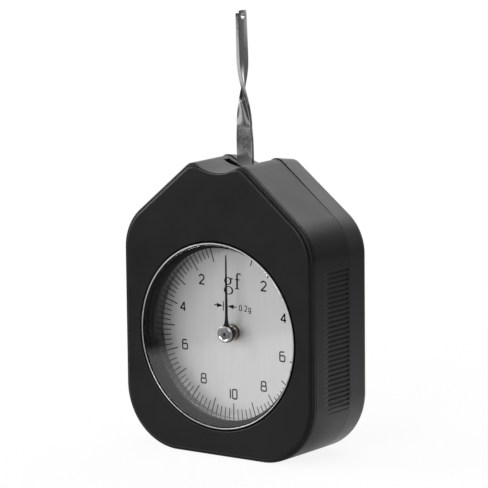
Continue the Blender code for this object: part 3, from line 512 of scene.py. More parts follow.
def case_outline(inset, draft=0.0, drop=0.0):
    """Closed outline at an inset, (points, 2): base, base round, side, shoulder round,
    shoulder, ridge round and scoop of the right half, and then the same mirrored.
    Draft is a second inset that leaves the base on the table: z' = (z - d)(H - d)/(H - 2d).
    Drop lowers the ridges, and what is above the sides in proportion to its height there."""
    stretch = (body_height - draft) / (body_height - 2 * draft)
    inset = inset + draft
    flat = np.stack([np.linspace(0, base_centre[0], 9)[:-1], np.full(8, inset)], -1)
    base = ring_point(base_centre, base_radius - inset, base_angles)
    side = np.stack([np.full(len(high_grip), half_width - inset), high_grip / stretch + draft], -1)
    side_round = ring_point(side_centre, shoulder_radius - inset, np.linspace(0, slope, 21))
    middle, radius, turn = ridge_arc(inset)
    ridge = ring_point(middle, radius, np.linspace(slope, turn, 13))
    scoop_turns = -np.pi / 2 + scoop_shares * (turn - np.pi / 2)
    scoop = ring_point((0, scoop_centre), scoop_radius + inset, scoop_turns)[1:]
    straight = side_round[-1] + np.linspace(0, 1, 9)[1:-1, None] * (ridge[0] - side_round[-1])
    half = np.concatenate([flat, base, side, side_round, straight, ridge, scoop])
    half[:, 1] = (half[:, 1] - draft) * stretch
    half[:, 1] -= drop * np.clip(half[:, 1] - side_height, 0, None) / (body_height - side_height)
    mirrored_half = half[1:-1][::-1] * np.array([-1, 1])
    return np.concatenate([half, mirrored_half])


outer_line = case_outline(0.0)
sight = outer_line - np.array(dial_middle)
sight = sight / np.linalg.norm(sight, axis=1, keepdims=True)
print("Outline points:", len(outer_line), "ridge top in mm:", round(outer_line[:, 1].max() / mm, 2))


# %% Rows of the case
def mould_draft(y):
    """How far a wall at depth y leans in: nothing at the parting line, most at front and back."""
    share = (parting_y - y) / (parting_y + half_depth)
    return front_draft * share if share > 0 else rear_draft * (y - parting_y) / (half_depth - parting_y)


def cover_drop(y):
    """How far the ridges have come down: the cover's start a step higher and fall to the back."""
    share = (y - parting_y) / (half_depth - parting_y)
    return (cover_step + cover_fall) * share - cover_step if share > 0 else 0.0


def outline_row(inset, y, drafted=True):
    """The outline at an inset as one row of a grid, at depth y."""
    outline = case_outline(inset, mould_draft(y), cover_drop(y)) if drafted else case_outline(inset)
    return at_depth(outline, y)


def circle_row(radius, y):
    """A circle round the dial's middle as one row, each point on the ray to its outline point."""
    return at_depth(np.array(dial_middle) + radius * sight, y)


# %% [markdown]
# ## Front half of the case
# This is one closed skin. Its rows run from the dial opening over the flat face, down the
# stepped front edge with its two rounds and a ledge, along the wall to the parting line, and
# back inside. The grips are pressed into the same rows: a wave along the height, switched on
# and off along the depth. Cutting thirty grooves with a Boolean would leave their edges hard.

# %% Grips and front edge
grip_depth = 0.36 * mm
rib_share = 0.18
ledge_width, ledge_depth = 0.8 * mm, 0.7 * mm
face_round, ledge_fillet, wall_round, scribe_round = 0.7 * mm, 0.1 * mm, 0.5 * mm, 0.05 * mm
face_run, wall_run = 4.0 * mm, 4.0 * mm
scribe_start, scribe_middle, scribe_end = 1.42 * mm, 1.62 * mm, 1.82 * mm
scribe_depth = 0.08 * mm
scoop_ledge_share = 0.3
ledge_narrows, ledge_widens = 4.5 * mm, 7.9 * mm
above_sides = 5 * mm


def groove(z):
    """0 on a rib and 1 at the bottom of a groove: a cosine wave with its slopes made steeper."""
    wave = 0.5 + 0.5 * np.cos(2 * np.pi * (z - grip_first) / grip_pitch)
    share = np.clip((wave - rib_share) / (1 - 2 * rib_share), 0, 1)
    inside = (z > grip_z[0]) & (z < grip_z[-1])
    return share * share * (3 - 2 * share) * inside


def with_grip(row, amount):
    """Moves the row's points in to the groove's floor where they stand proud of it."""
    moved = row.copy()
    limit = half_width - mould_draft(row[0, 1]) - grip_depth * amount * groove(row[:, 2])
    moved[:, 0] = np.sign(row[:, 0]) * np.minimum(np.abs(row[:, 0]), limit)
    return moved


beside_scoop = np.clip((np.abs(outer_line[:, :1]) - ledge_narrows) / (ledge_widens - ledge_narrows), 0, 1)
beside_scoop = beside_scoop ** 2 * (3 - 2 * beside_scoop)
beside_scoop = np.where(outer_line[:, 1:] > side_height + above_sides, beside_scoop, 1)


def edge_row(inset, y):
    """Row of the stepped front edge, whose inset shrinks to a share of itself in the scoop."""
    wide, narrow = outline_row(inset, y), outline_row(inset * scoop_ledge_share, y)
    return narrow + beside_scoop * (wide - narrow)


edge_profile = rounded([(face_run, 0), (ledge_width, 0), (ledge_width, ledge_depth), (0, ledge_depth),
                        (0, scribe_start), (scribe_depth, scribe_middle), (0, scribe_end), (0, wall_run)],
                       [0, face_round, ledge_fillet, wall_round, scribe_round, scribe_round, scribe_round, 0],
                       8, hold=0.03 * mm)[1:-1]
print("Points of the front edge:", len(edge_profile))

# %% Front case
case_wall = 2.2 * mm
opening_radius, lip_radius, ring_radius = 25.15 * mm, 24.8 * mm, 26.55 * mm
ring_end_y = -7.05 * mm
lip_depth, lip_slope, lip_round, lip_hold = 1.6 * mm, 0.2 * mm, 0.3 * mm, 0.06 * mm
parting_lip, gap = 0.06 * mm, 0.02 * mm
slack = 0.01 * mm
quarter_turn = np.linspace(0, np.pi / 2, 5)

# Depth in millimetres behind the front face, and how much of the grip's wave shows there.
grip_steps = [(4.5, 0), (6.7, 0), (6.8, 0.1), (6.9, 0.5), (7.0, 0.9), (7.12, 1), (9.0, 1), (11.0, 1),
              (12.425, 1), (13.7, 1), (14.975, 1), (15.5, 1), (16.0, 1), (16.12, 0.9), (16.22, 0.5),
              (16.3, 0.1), (16.4, 0)]

rows = [circle_row(opening_radius, ring_end_y),
        circle_row(opening_radius, front_y + lip_depth + lip_slope),
        circle_row(lip_radius, front_y + lip_depth), circle_row(lip_radius, front_y + 2 * lip_round)]
rows += [circle_row(lip_radius + lip_round * (1 - np.cos(a)), front_y + lip_round * (1 - np.sin(a)))
         for a in np.linspace(0, np.pi / 2, 6)]
rows += [circle_row(lip_radius + lip_round + lip_hold, front_y)]
rows += [edge_row(inset, front_y + depth) for inset, depth in edge_profile]
rows += [with_grip(outline_row(0.0, front_y + depth * mm), amount) for depth, amount in grip_steps]
rows += [outline_row(parting_lip * (1 - np.cos(a)), parting_y - gap - parting_lip * (1 - np.sin(a)))
         for a in quarter_turn]
outer_count = len(rows)
slot_low, slot_high = slot_y - slot_half_width, slot_y + slot_half_width
inner_depths = (parting_y - gap, slot_high, slot_y, slot_low, front_y + case_wall)
rows += [outline_row(case_wall, y, False) for y in inner_depths]
rows += [circle_row(ring_radius, front_y + case_wall), circle_row(ring_radius, ring_end_y)]

shell = np.stack(rows)
depths = shell[:, 0, 1]
next_depths = np.roll(depths, -1)
in_slot = (np.abs(outer_line[:, 0]) < slot_half_length + slack) & (outer_line[:, 1] > side_height)
column_open = in_slot & np.roll(in_slot, -1)
row_open = np.minimum(depths, next_depths) > slot_low - slack
row_open &= np.maximum(depths, next_depths) < slot_high + slack
keep = ~(row_open[:, None] & column_open[None, :])
print("Rows and columns of the front case:", shell.shape[:2], "faces left out:", int((~keep).sum()))


# %% Slot of the lever
def slot_wall(shell):
    """Wall round the lever's slot: the loop round the hole in the outer skin, joined to the
    loop round the hole in the inner skin."""
    columns = np.flatnonzero(in_slot)
    crossed = np.flatnonzero((depths > slot_low - slack) & (depths < slot_high + slack))
    outer, inner = crossed[crossed < outer_count], crossed[crossed >= outer_count][::-1]

    def loop(rows_used):
        """Points round a hole: its first row, its right end, its last row and its left end."""
        right_end, left_end = shell[rows_used, columns[-1]], shell[rows_used, columns[0]]
        return np.concatenate([shell[rows_used[0], columns], right_end[1:-1],
                               shell[rows_used[-1], columns][::-1], left_end[1:-1][::-1]])

    return np.stack([loop(outer), loop(inner)])


front_parts = [grid(shell, wrap_rows=True, wrap_columns=True, keep=keep),
               grid(slot_wall(shell), wrap_columns=True)]
new_piece("case_front_skin", front_parts, case_plastic, "case", ["front_case"])

# %% [markdown]
# ## Rear cover
# The back is a shallow dish with a round edge and four round recesses for its screws. Its
# wall is a grid like the front's. The flat back has four holes in it, which no grid fits
# well, so a constrained Delaunay triangulation fills the face between the outline and them.

# %% Flat faces with holes
meeting_distance = 1e-5


def filled(outline, holes, y):
    """Flat face between a closed outline and round holes, as (points, faces) at depth y. A
    triangle whose middle lies within a hole is left out."""
    loops = [outline] + holes
    starts = np.cumsum([0] + [len(loop) for loop in loops])
    edges = []
    for loop, start in zip(loops, starts):
        edges += [(start + k, start + (k + 1) % len(loop)) for k in range(len(loop))]
    flat_points = [Vector(point / mm) for point in np.concatenate(loops)]
    found = delaunay_2d_cdt(flat_points, edges, [], 1, meeting_distance)
    spots = np.array([tuple(v) for v in found[0]]) * mm
    triangles = np.array(found[2])
    middles = spots[triangles].mean(1)
    solid = np.ones(len(triangles), bool)
    for hole in holes:
        centre = hole.mean(0)
        solid &= np.linalg.norm(middles - centre, axis=1) > np.linalg.norm(hole[0] - centre) * 0.999
    return at_depth(spots, y), triangles[solid]


# %% Rear cover
back_y = half_depth
cover_start_y = parting_y + gap
cover_floor_y = back_y - case_wall
rear_radius, rear_hold = 1.9 * mm, 0.06 * mm
wall_depths = (4.3 * mm, 6.0 * mm, 8.5 * mm, 10.5 * mm)
recess_radius, recess_y = 2.35 * mm, 10.85 * mm
recess_lip, recess_fillet = 0.2 * mm, 0.01 * mm
post_radius = 2.2 * mm
post_inset = case_wall + post_radius
post_reach = base_radius - post_inset
diagonal = np.sqrt(0.5)
lower_post = base_centre + post_reach * np.array([diagonal, -diagonal])
toward = np.array([1 + facing[0], facing[1]])
upper_post = side_centre + (shoulder_radius - post_inset) * toward / np.linalg.norm(toward)
post_places = [(side * x, z) for x, z in (lower_post, upper_post) for side in (-1, 1)]

cover_rows = [outline_row(case_wall, y, False) for y in (cover_floor_y, cover_start_y)]
cover_rows += [outline_row(parting_lip * (1 - np.sin(a)), cover_start_y + parting_lip * (1 - np.cos(a)))
               for a in quarter_turn]
cover_rows += [outline_row(0.0, y) for y in wall_depths]
cover_rows += [outline_row(rear_radius * (1 - np.cos(a)), back_y - rear_radius * (1 - np.sin(a)))
               for a in np.linspace(0, np.pi / 2, 11)]
cover_rows += [outline_row(rear_radius + rear_hold, back_y)]
recess_lines = [circle(spot, recess_radius + recess_lip) for spot in post_places]
recess_profile = [(0, recess_y), (recess_radius - recess_fillet, recess_y),
                  (recess_radius, recess_y + recess_fillet)]
recess_profile += [(recess_radius + recess_lip * (1 - np.cos(a)), back_y - recess_lip * (1 - np.sin(a)))
                   for a in quarter_turn]
cover_parts = [grid(np.stack(cover_rows), wrap_columns=True),
               filled(case_outline(rear_radius + rear_hold, rear_draft, cover_fall), recess_lines, back_y),
               filled(case_outline(case_wall), [], cover_floor_y)]
cover_parts += [grid(turned(recess_profile, spot, 48), wrap_columns=True) for spot in post_places]
new_piece("case_rear_skin", cover_parts, case_plastic, "case", ["rear_cover"])

# %% [markdown]
# ## Metals
# Bright rings, the lever and the screws are all steel or plated brass. What tells them apart
# is how they were finished, so one function makes a metal from its colour and roughness, and
# a stretched noise adds the fine lines that turning or grinding leaves on it.

# %% Metals
def metal(name, colour, roughness, lines, depth=0.002 * mm, spread=0.08):
    """Metal with a noise that has the given number of waves in a metre along each axis. It
    darkens the colour by up to a fifth, spreads the roughness and raises lines of that depth."""
    made, tree, shader = new_material(name)
    streaks = noise(tree, stretched(tree, object_place(tree), lines), 1.0, 4.0, 0.6)
    tint = node(tree, "ShaderNodeMix", data_type="RGBA", blend_type="MULTIPLY")
    tint.inputs["Factor"].default_value = 1.0
    tint.inputs[6].default_value = (*colour, 1)
    tree.links.new(ramp(tree, streaks, [(0.25, 0.8), (0.75, 1.0)]), tint.inputs[7])
    tree.links.new(tint.outputs[2], shader.inputs["Base Color"])
    varied(tree, shader, "Roughness", streaks, roughness - spread / 2, roughness + spread / 2)
    raised(tree, shader, streaks, 0.3, depth)
    shader.inputs["Metallic"].default_value = 1.0
    return made


bright_plate = metal("bright_plate", (0.82, 0.82, 0.82), 0.14, (900, 900, 900))
turned_steel = metal("turned_steel", (0.62, 0.62, 0.62), 0.3, (900, 3000, 900))
brass = metal("rolled_brass", (0.66, 0.5, 0.24), 0.34, (300, 2500, 2500))
blued_steel = metal("blued_steel", (0.3, 0.33, 0.42), 0.3, (900, 900, 900))
ground_steel = metal("ground_lever_steel", (0.62, 0.62, 0.62), 0.07, (1500, 1500, 900),
                     0.003 * mm, 0.06)
print("Metals:", [made.name for made in (bright_plate, turned_steel, brass, blued_steel, ground_steel)])

# %% [markdown]
# ## Bezel, glass and sleeve
# A plated ring holds a flat glass in the opening. Under the glass a gloss black sleeve leads
# down to the dial, which lies seven millimetres behind the front, and mirrors its lines. All
# are turned parts, so each is a profile of radius and depth carried round the dial's axis.

# %% Finish of the bezel, with a painted top light
crest_start, crest_end = 24.02 * mm, 24.3 * mm
crest_start_blur, crest_end_blur = 0.04 * mm, 0.06 * mm


def from_dial_middle(tree, source):
    """Distance of a place from the dial's axis, which runs along Y."""
    flat = node(tree, "ShaderNodeVectorMath", operation="MULTIPLY_ADD")
    flat.inputs[1].default_value = (1.0, 0.0, 1.0)
    flat.inputs[2].default_value = (0.0, 0.0, -dial_middle[1])
    tree.links.new(source, flat.inputs[0])
    return length_of(tree, flat.outputs[0])


crest, tree, shader = new_material("bright_crest")
place = object_place(tree)
radius = from_dial_middle(tree, place)
past_start = between(tree, radius, crest_start, crest_start + crest_start_blur, 0.0, 1.0)
before_end = between(tree, radius, crest_end, crest_end + crest_end_blur, 1.0, 0.0)
on_crest = combined(tree, "MULTIPLY", past_start, before_end)
# Painted light: the crest's colour rises from 0.27 at the bottom of the ring to 0.85 at its top, so its top
# is painted lighter than its lower side.
painted_light_by_height = ramp(tree, axis_value(tree, place, "Z"), [(0.01, 0.27), (0.03, 0.42), (0.055, 0.85)])
tree.links.new(combined(tree, "MULTIPLY", on_crest, painted_light_by_height), shader.inputs["Base Color"])
tree.links.new(on_crest, shader.inputs["Metallic"])
scuff = noise(tree, place, 900.0, 3.0)
varied(tree, shader, "Roughness", scuff, 0.26, 0.36)
raised(tree, shader, scuff, 0.2, 0.002 * mm)
shader.inputs["Specular IOR Level"].default_value = 0.1
print("Bezel nodes:", len(tree.nodes))

# %% Bezel
bezel_outer, bezel_inner, bezel_waist, bezel_seat = 24.55 * mm, 24.0 * mm, 23.95 * mm, 24.15 * mm
bezel_end_y, bezel_seat_y = -9.45 * mm, -10.0 * mm
bezel_corners = [(bezel_outer, bezel_end_y), (bezel_outer, front_y), (bezel_inner, front_y),
                 (bezel_waist, bezel_seat_y), (bezel_seat, bezel_seat_y), (bezel_seat, bezel_end_y)]
bezel_rounds = np.array([0.05, 0.25, 0.2, 0.02, 0.02, 0.05]) * mm
bezel_profile = rounded(bezel_corners, bezel_rounds, 7, closed=True)
new_piece("bezel_ring", [grid(turned(bezel_profile, dial_middle, 192), True, True)], crest,
          "case", ["lens_bezel"], sharp=60)

# %% Glass
lens_radius, lens_front_y, lens_back_y = 23.9 * mm, -12.45 * mm, -10.25 * mm
lens_round, lens_hold = 0.2 * mm, 0.05 * mm
rim_start, rim_end = 23.84 * mm, 23.88 * mm
clear, tree, shader = new_material("clear_glass")
tree.nodes.remove(shader)
through = node(tree, "ShaderNodeBsdfTransparent", Color=(0.98, 0.98, 0.98, 1))
gloss = node(tree, "ShaderNodeBsdfAnisotropic", Roughness=0.01, Color=(1, 1, 1, 1))
edge_gloss = node(tree, "ShaderNodeFresnel", IOR=1.5).outputs[0]
from_behind = node(tree, "ShaderNodeNewGeometry").outputs["Backfacing"]
front_only = between(tree, from_behind, 0.0, 1.0, 2.2, 0.0)
inside_rim = between(tree, from_dial_middle(tree, object_place(tree)), rim_start, rim_end, 1.0, 0.0)
reflected = combined(tree, "MULTIPLY", combined(tree, "MULTIPLY", edge_gloss, front_only), inside_rim)
mixed = mix_shader(tree, reflected, through.outputs[0], gloss.outputs[0])
tree.links.new(mixed, tree.nodes["Material Output"].inputs["Surface"])

lens_profile = rounded([(0, lens_front_y), (lens_radius, lens_front_y), (lens_radius, lens_back_y),
                        (0, lens_back_y)], [0, lens_round, lens_round, 0], 4, hold=lens_hold)
new_piece("dial_glass", [grid(turned(lens_profile, dial_middle), wrap_columns=True)], clear,
          "case", ["lens"])

# %% Sleeve
sleeve_bore, sleeve_mouth, sleeve_outer, flange_radius = 22.7 * mm, 23.5 * mm, 23.85 * mm, 27.05 * mm
sleeve_front_y, flare_end_y = -9.15 * mm, -8.5 * mm
flange_front_y, flange_back_y = -6.75 * mm, -5.75 * mm
gloss_black = moulded_plastic("gloss_black", 0.003, 0.08, 0.0002 * mm, 0.32)
sleeve_corners = [(sleeve_mouth, sleeve_front_y), (sleeve_outer, sleeve_front_y),
                  (sleeve_outer, flange_front_y), (flange_radius, flange_front_y),
                  (flange_radius, flange_back_y), (sleeve_bore, flange_back_y), (sleeve_bore, flare_end_y)]
sleeve_profile = rounded(sleeve_corners, [0.08 * mm] * 7, 3, closed=True, hold=0.05 * mm)
new_piece("black_sleeve", [grid(turned(sleeve_profile, dial_middle, 192), True, True)], gloss_black,
          "case", ["dial_sleeve"])

# %% [markdown]
# ## The dial plate
# The dial is a satin aluminium disc. It mirrors softly, so the pointer throws a blurred dark
# streak on it. The streak is drawn out upwards because the sheet was brushed that way, which
# a noise stretched along the height gives to both its colour and its bump.

# %% Dial plate
silver, tree, shader = new_material("satin_silver")
brushed = noise(tree, stretched(tree, object_place(tree), (5200.0, 5200.0, 90.0)), 1.0, 3.0, 0.6)
varied(tree, shader, "Base Color", brushed, 0.69, 0.76, 0.25)
varied(tree, shader, "Roughness", brushed, 0.34, 0.42, 0.25)
raised(tree, shader, brushed, 0.2, 0.002 * mm)
shader.inputs["Metallic"].default_value = 0.9

dial_y, dial_thickness = -5.45 * mm, 0.5 * mm
dial_hole, dial_radius = 2.25 * mm, 23.9 * mm
dial_corners = [(dial_hole, dial_y), (dial_radius, dial_y), (dial_radius, dial_y + dial_thickness),
                (dial_hole, dial_y + dial_thickness)]
dial_profile = rounded(dial_corners, [0.04 * mm] * 4, 3, closed=True, hold=0.05 * mm)
new_piece("dial_disc", [grid(turned(dial_profile, dial_middle), True, True)], silver,
          "case", ["dial_plate"])

# %% [markdown]
# ## Lines on the dial
# The scale has ten units each way from the top, in fifths, with no lines beside the zero.
# Each line could be a copied box. Here one array holds all their angles, and the corners of
# every bar come from it at once. Ink lies 0.02 mm proud, so it never fights with the plate.

# %% Ink
ink, tree, shader = new_material("black_ink")
speck = noise(tree, object_place(tree), 2500.0, 2.0)
varied(tree, shader, "Base Color", speck, 0.001, 0.003)
varied(tree, shader, "Roughness", speck, 0.45, 0.6)
shader.inputs["Specular IOR Level"].default_value = 0.05
ink_proud, ink_sunk = 0.02 * mm, 0.01 * mm
ink_front, ink_back = dial_y - ink_proud, dial_y + ink_sunk
print("Ink lies between, in mm:", round(ink_front / mm, 3), round(ink_back / mm, 3))

# %% Scale lines
fifth_turn = np.radians(3.6)
first_fifth, last_fifth = 5, 50
unit_start, fifth_start, line_end = 18.9 * mm, 20.35 * mm, 22.85 * mm
unit_width, fifth_width = 0.28 * mm, 0.23 * mm


def bars(angle, inner, outer, width):
    """Radial bars: for each angle from the top a thin box from inner to outer radius."""
    out = np.stack([np.sin(angle), np.cos(angle)], -1)
    side = np.stack([out[:, 1], -out[:, 0]], -1) * width[:, None] / 2
    near, far = inner[:, None] * out, outer * out
    flat = np.stack([near - side, near + side, far + side, far - side], 1) + np.array(dial_middle)
    corners = np.concatenate([at_depth(flat, y) for y in (ink_front, ink_back)], 1)
    box = np.array([(0, 3, 2, 1), (4, 5, 6, 7), (0, 1, 5, 4), (1, 2, 6, 5), (2, 3, 7, 6), (3, 0, 4, 7)])
    faces = (box[None] + 8 * np.arange(len(angle))[:, None, None]).reshape(-1, 4)
    return corners.reshape(-1, 3), faces


fifths = np.arange(first_fifth, last_fifth + 1)
steps_round = np.concatenate([-fifths[::-1][1:], fifths])
whole = steps_round % 5 == 0
lines = bars(steps_round * fifth_turn, np.where(whole, unit_start, fifth_start), line_end,
             np.where(whole, unit_width, fifth_width))
new_piece("scale_lines", [lines], ink, "case", sharp=30)

# %% [markdown]
# ## Numbers on the dial
# The numbers are drawn as an engraver's pen draws them, with strokes of one width. A font
# would be quicker, but it has no such squarish sixes and eights. Each figure is a few paths
# in a box one unit high, and a ribbon of ink is carried along every path.

# %% Strokes
def bow(cx, cz, rx, rz, start, end, steps=14):
    """Arc of an ellipse from start to end in degrees."""
    t = np.radians(np.linspace(start, end, steps))
    return np.stack([cx + rx * np.cos(t), cz + rz * np.sin(t)], -1)


def line(*points):
    """Straight path through the given points."""
    return np.array(points, float)


def box_path(left, right, bottom, top, radius=0.12):
    """Closed rounded box as a path that ends where it starts."""
    middle = (left + right) / 2
    corners = [(middle, bottom), (right, bottom), (right, top), (left, top), (left, bottom), (middle, bottom)]
    return rounded(corners, [0, radius, radius, radius, radius, 0], 4)


def dense(path, step):
    """Adds points along the straights of a path so that no gap is longer than step."""
    made = []
    for start, end in zip(path[:-1], path[1:]):
        count = int(np.ceil(np.linalg.norm(end - start) / step))
        made.append(start + np.linspace(0, 1, count + 1)[:-1, None] * (end - start))
    return np.concatenate(made + [path[-1:]])


def ribbon(path, width):
    """Ink along a flat path: two edges at half the width to each side of it, square to the
    direction between its neighbours, as a closed strip with a front and a back. width may vary."""
    ahead = np.gradient(path, axis=0)
    ahead = ahead / np.linalg.norm(ahead, axis=1, keepdims=True)
    side = np.stack([ahead[:, 1], -ahead[:, 0]], -1) * (np.broadcast_to(width, len(path))[:, None] / 2)
    left, right = path - side, path + side
    tube = np.stack([at_depth(left, ink_front), at_depth(right, ink_front),
                     at_depth(right, ink_back), at_depth(left, ink_back)], 1)
    points, faces = grid(tube, wrap_columns=True)
    last = 4 * len(path) - 1
    caps = np.array([[0, 1, 2, 3], [last, last - 1, last - 2, last - 3]])
    return points, np.concatenate([faces, caps])


def written(text, alphabet, corner, height, pen, spacing, step):
    """Ribbons for a line of figures whose lower left corner is given from the dial's middle.
    Each figure starts where the one before it ends, plus the spacing times the height."""
    made = []
    start = 0.0
    for character in text:
        width, paths = alphabet[character]
        for path in paths:
            spots = (path + np.array([start, 0])) * height + np.array(corner) + np.array(dial_middle)
            made.append(ribbon(dense(spots, step), pen))
        start += width + spacing
    return made


# %% Numbers
# Each figure's width and its paths, all in shares of its height.
figures = {
    "2": (0.7, [np.concatenate([bow(0.35, 0.71, 0.32, 0.29, 165, -30, 18), line((0.02, 0.0))]),
                line((0.0, 0.0), (0.7, 0.0))]),
    "4": (0.68, [line((0.5, 0.0), (0.5, 1.0)), line((0.52, 1.0), (0.0, 0.28)),
                 line((0.0, 0.28), (0.68, 0.28))]),
    "6": (0.64, [rounded([(0.56, 1.0), (0.0, 1.0), (0.0, 0.0), (0.64, 0.0), (0.64, 0.6), (0.0, 0.6)],
                         [0, 0.16, 0.14, 0.14, 0.14, 0], 4)]),
    "8": (0.66, [box_path(0.0, 0.66, 0.0, 0.52), box_path(0.05, 0.61, 0.52, 1.0)]),
    "1": (0.0, [line((0.0, 0.0), (0.0, 1.0))]),
    "0": (0.56, [box_path(0.0, 0.56, 0.0, 1.0, 0.14)]),
}
figure_height, figure_pen, figure_spacing = 2.45 * mm, 0.4 * mm, 0.3

# Middle of each number in millimetres from the dial's middle, on the right half.
number_places = {"2": (9.94, 13.08), "4": (16.12, 5.3), "6": (15.65, -4.8), "8": (9.67, -13.25),
                 "10": (0.0, -16.4)}
numbers = []
for text, (x, z) in number_places.items():
    text_width = sum(figures[c][0] for c in text) + figure_spacing * (len(text) - 1)
    for side in (-1, 1) if x else (1,):
        lower_left = (side * x * mm - text_width / 2 * figure_height, z * mm - figure_height / 2)
        numbers += written(text, figures, lower_left, figure_height, figure_pen, figure_spacing, 0.25 * mm)
new_piece("dial_numbers", numbers, ink, "case", sharp=30)

# %% [markdown]
# ## Unit sign and division mark
# Under the zero stands the sign for gram-force in a book face, whose strokes swell and thin.
# The same ribbon serves when its width is an array. Two arrows below it close on the width
# of one division.

# %% Unit sign
thin, thick = 0.22 * mm, 0.5 * mm


def swelling(path):
    """Width along a path: thick where it runs up or down and thin where it runs level."""
    ahead = np.gradient(path, axis=0)
    return thin + (thick - thin) * (np.abs(ahead[:, 1]) / np.linalg.norm(ahead, axis=1)) ** 1.5


def on_dial(path):
    """A path in millimetres from the dial's middle, brought to its place in metres."""
    return path * mm + np.array(dial_middle)


curves = [bow(-1.44, 13.4, 0.93, 0.93, 0, 360, 40), bow(-1.25, 10.95, 1.25, 1.0, 0, 360, 44),
          line((-1.9, 12.6), (-2.15, 12.25), (-1.95, 11.95), (-1.3, 11.93)),
          np.concatenate([line((1.51, 11.55), (1.51, 15.05)), bow(2.1, 15.05, 0.59, 0.58, 170, 40, 12)])]
serifs = [(line((-0.8, 13.95), (-0.4, 14.12), (0.1, 14.0)), 0.34), (line((0.9, 13.98), (2.35, 13.98)), 0.25),
          (line((0.9, 11.6), (2.15, 11.6)), 0.25), (line((2.38, 15.5), (2.62, 15.3)), 0.42)]
sign = []
for path in curves:
    spots = dense(on_dial(path), 0.12 * mm)
    sign.append(ribbon(spots, swelling(spots)))
sign += [ribbon(on_dial(path), width * mm) for path, width in serifs]
new_piece("unit_sign", sign, ink, "case", sharp=30)

# %% Division mark
# Lengths are in millimetres from the dial's middle, and the small figures are in shares of
# their height.
mark_z = 6.72
gauge_lines = (-2.98, -1.76)
gauge_line_low, gauge_line_high = 5.44, 7.97
shaft_start, arrow_length, arrow_width, arrow_point = 1.2, 1.9, 1.2, 0.02
mark = [ribbon(on_dial(line((x, gauge_line_low), (x, gauge_line_high))), 0.25 * mm) for x in gauge_lines]
for tip, tail in ((-3.14, -5.9), (-1.6, 1.2)):
    way = np.sign(tail - tip)
    mark.append(ribbon(on_dial(line((tip + way * shaft_start, mark_z), (tail, mark_z))), 0.3 * mm))
    head = dense(on_dial(line((tip, mark_z), (tip + way * arrow_length, mark_z))), 0.3 * mm)
    mark.append(ribbon(head, np.linspace(arrow_point, arrow_width, len(head)) * mm))
small_figures = {
    "0": (0.5, [box_path(0.0, 0.5, 0.0, 1.0, 0.22)]),
    ".": (0.0, [line((0.0, 0.0), (0.0, 0.12))]),
    "2": (0.55, [np.concatenate([bow(0.27, 0.72, 0.25, 0.28, 165, -35, 14), line((0.02, 0.0))]),
                 line((0.0, 0.0), (0.55, 0.0))]),
    "g": (0.46, [box_path(0.0, 0.46, 0.0, 0.7, 0.2),
                 rounded([(0.46, 0.7), (0.46, -0.32), (0.04, -0.32)], [0, 0.2, 0], 4)]),
}
mark += written("0.2g", small_figures, (2.15 * mm, 5.93 * mm), 1.42 * mm, 0.22 * mm, 0.34, 0.15 * mm)
new_piece("division_mark", mark, ink, "case", sharp=30)

# %% [markdown]
# ## Pointer and its hub
# The pointer is a black stamped needle. It flares into an eye under a plated hub, and behind
# that the front bush shows as a second bright disc on the dial. The needle is one outline
# given a thickness, and the discs are turned.

# %% Pointer
needle_ink = moulded_plastic("needle_black", 0.003, 0.4, 0.001 * mm, 0.1)
needle_y, needle_half_thickness = -8.225 * mm, 0.125 * mm
needle_length, flare_length = 20.7 * mm, 0.8 * mm
eye_outer, eye_inner = 2.32 * mm, 1.05 * mm
root_half, foot_half, top_half, point_half = 0.95 * mm, 0.39 * mm, 0.14 * mm, 0.05 * mm
root_turn = np.arcsin(root_half / eye_outer)
root_height = eye_outer * np.cos(root_turn)
climb = np.linspace(0, 1, 30) ** 1.5
heights = root_height + climb * (needle_length - root_height)
flare = np.exp(-(heights - root_height) / flare_length)
half = foot_half - (foot_half - top_half) * climb + flare * (root_half - foot_half)
half[-1] = point_half
eye_turn = np.linspace(root_turn, 2 * np.pi - root_turn, 72)
eye = eye_outer * np.stack([np.sin(eye_turn), np.cos(eye_turn)], -1)
left_edge, right_edge = np.stack([-half, heights], -1), np.stack([half, heights], -1)
needle_line = np.concatenate([eye, left_edge[1:], right_edge[::-1][:-1]]) + np.array(dial_middle)


def flat_plate(outline, holes, y_front, y_back):
    """Flat piece: a triangulated face at the front and the back, joined by walls."""
    front, rear = filled(outline, holes, y_front), filled(outline, holes, y_back)
    parts = [front, (rear[0], rear[1][:, ::-1])]
    for loop in [outline] + holes:
        parts.append(grid(np.stack([at_depth(loop, y) for y in (y_front, y_back)]), wrap_columns=True))
    return parts


needle_parts = flat_plate(needle_line, [circle(dial_middle, eye_inner)],
                          needle_y - needle_half_thickness, needle_y + needle_half_thickness)
new_piece("needle", needle_parts, needle_ink, "pointer", ["pointer"])

# %% Hub and bush
# Corners and rounds of the turned profiles are in millimetres.
hub_corners = [(0.0, -9.2), (1.45, -9.25), (1.75, -9.4), (2.15, -9.4), (2.15, -8.65), (1.0, -8.65),
               (1.0, -6.6), (0.5, -6.6), (0.5, -8.9), (0, -8.9)]
hub_rounds = [0, 0.1, 0.1, 0.22, 0.1, 0, 0.05, 0, 0, 0]
hub_steel = metal("hub_plate", (0.5, 0.5, 0.5), 0.2, (700, 700, 700), 0.004 * mm, 0.12)
hub_profile = rounded(hub_corners, hub_rounds, 5, hold=0.03) * mm
new_piece("needle_hub", [grid(turned(hub_profile, dial_middle, 72), wrap_columns=True)], hub_steel,
          "pointer", ["pointer_hub"])

# Painted shade: the hub's front is closed, and a flat square of black ink laid just in front of it stands for
# the shade inside its square hole.
socket_half, hole_shade_y = 0.36, -9.23 * mm
hole_shade_line = on_dial(line((-socket_half, 0.0), (socket_half, 0.0)))
hole_shade_points, hole_shade_faces = ribbon(hole_shade_line, 2 * socket_half * mm)
hole_shade_points = hole_shade_points + np.array([0, hole_shade_y - ink_front, 0])
new_piece("hub_hole_painted_shade", [(hole_shade_points, hole_shade_faces)], ink, "pointer", sharp=30)

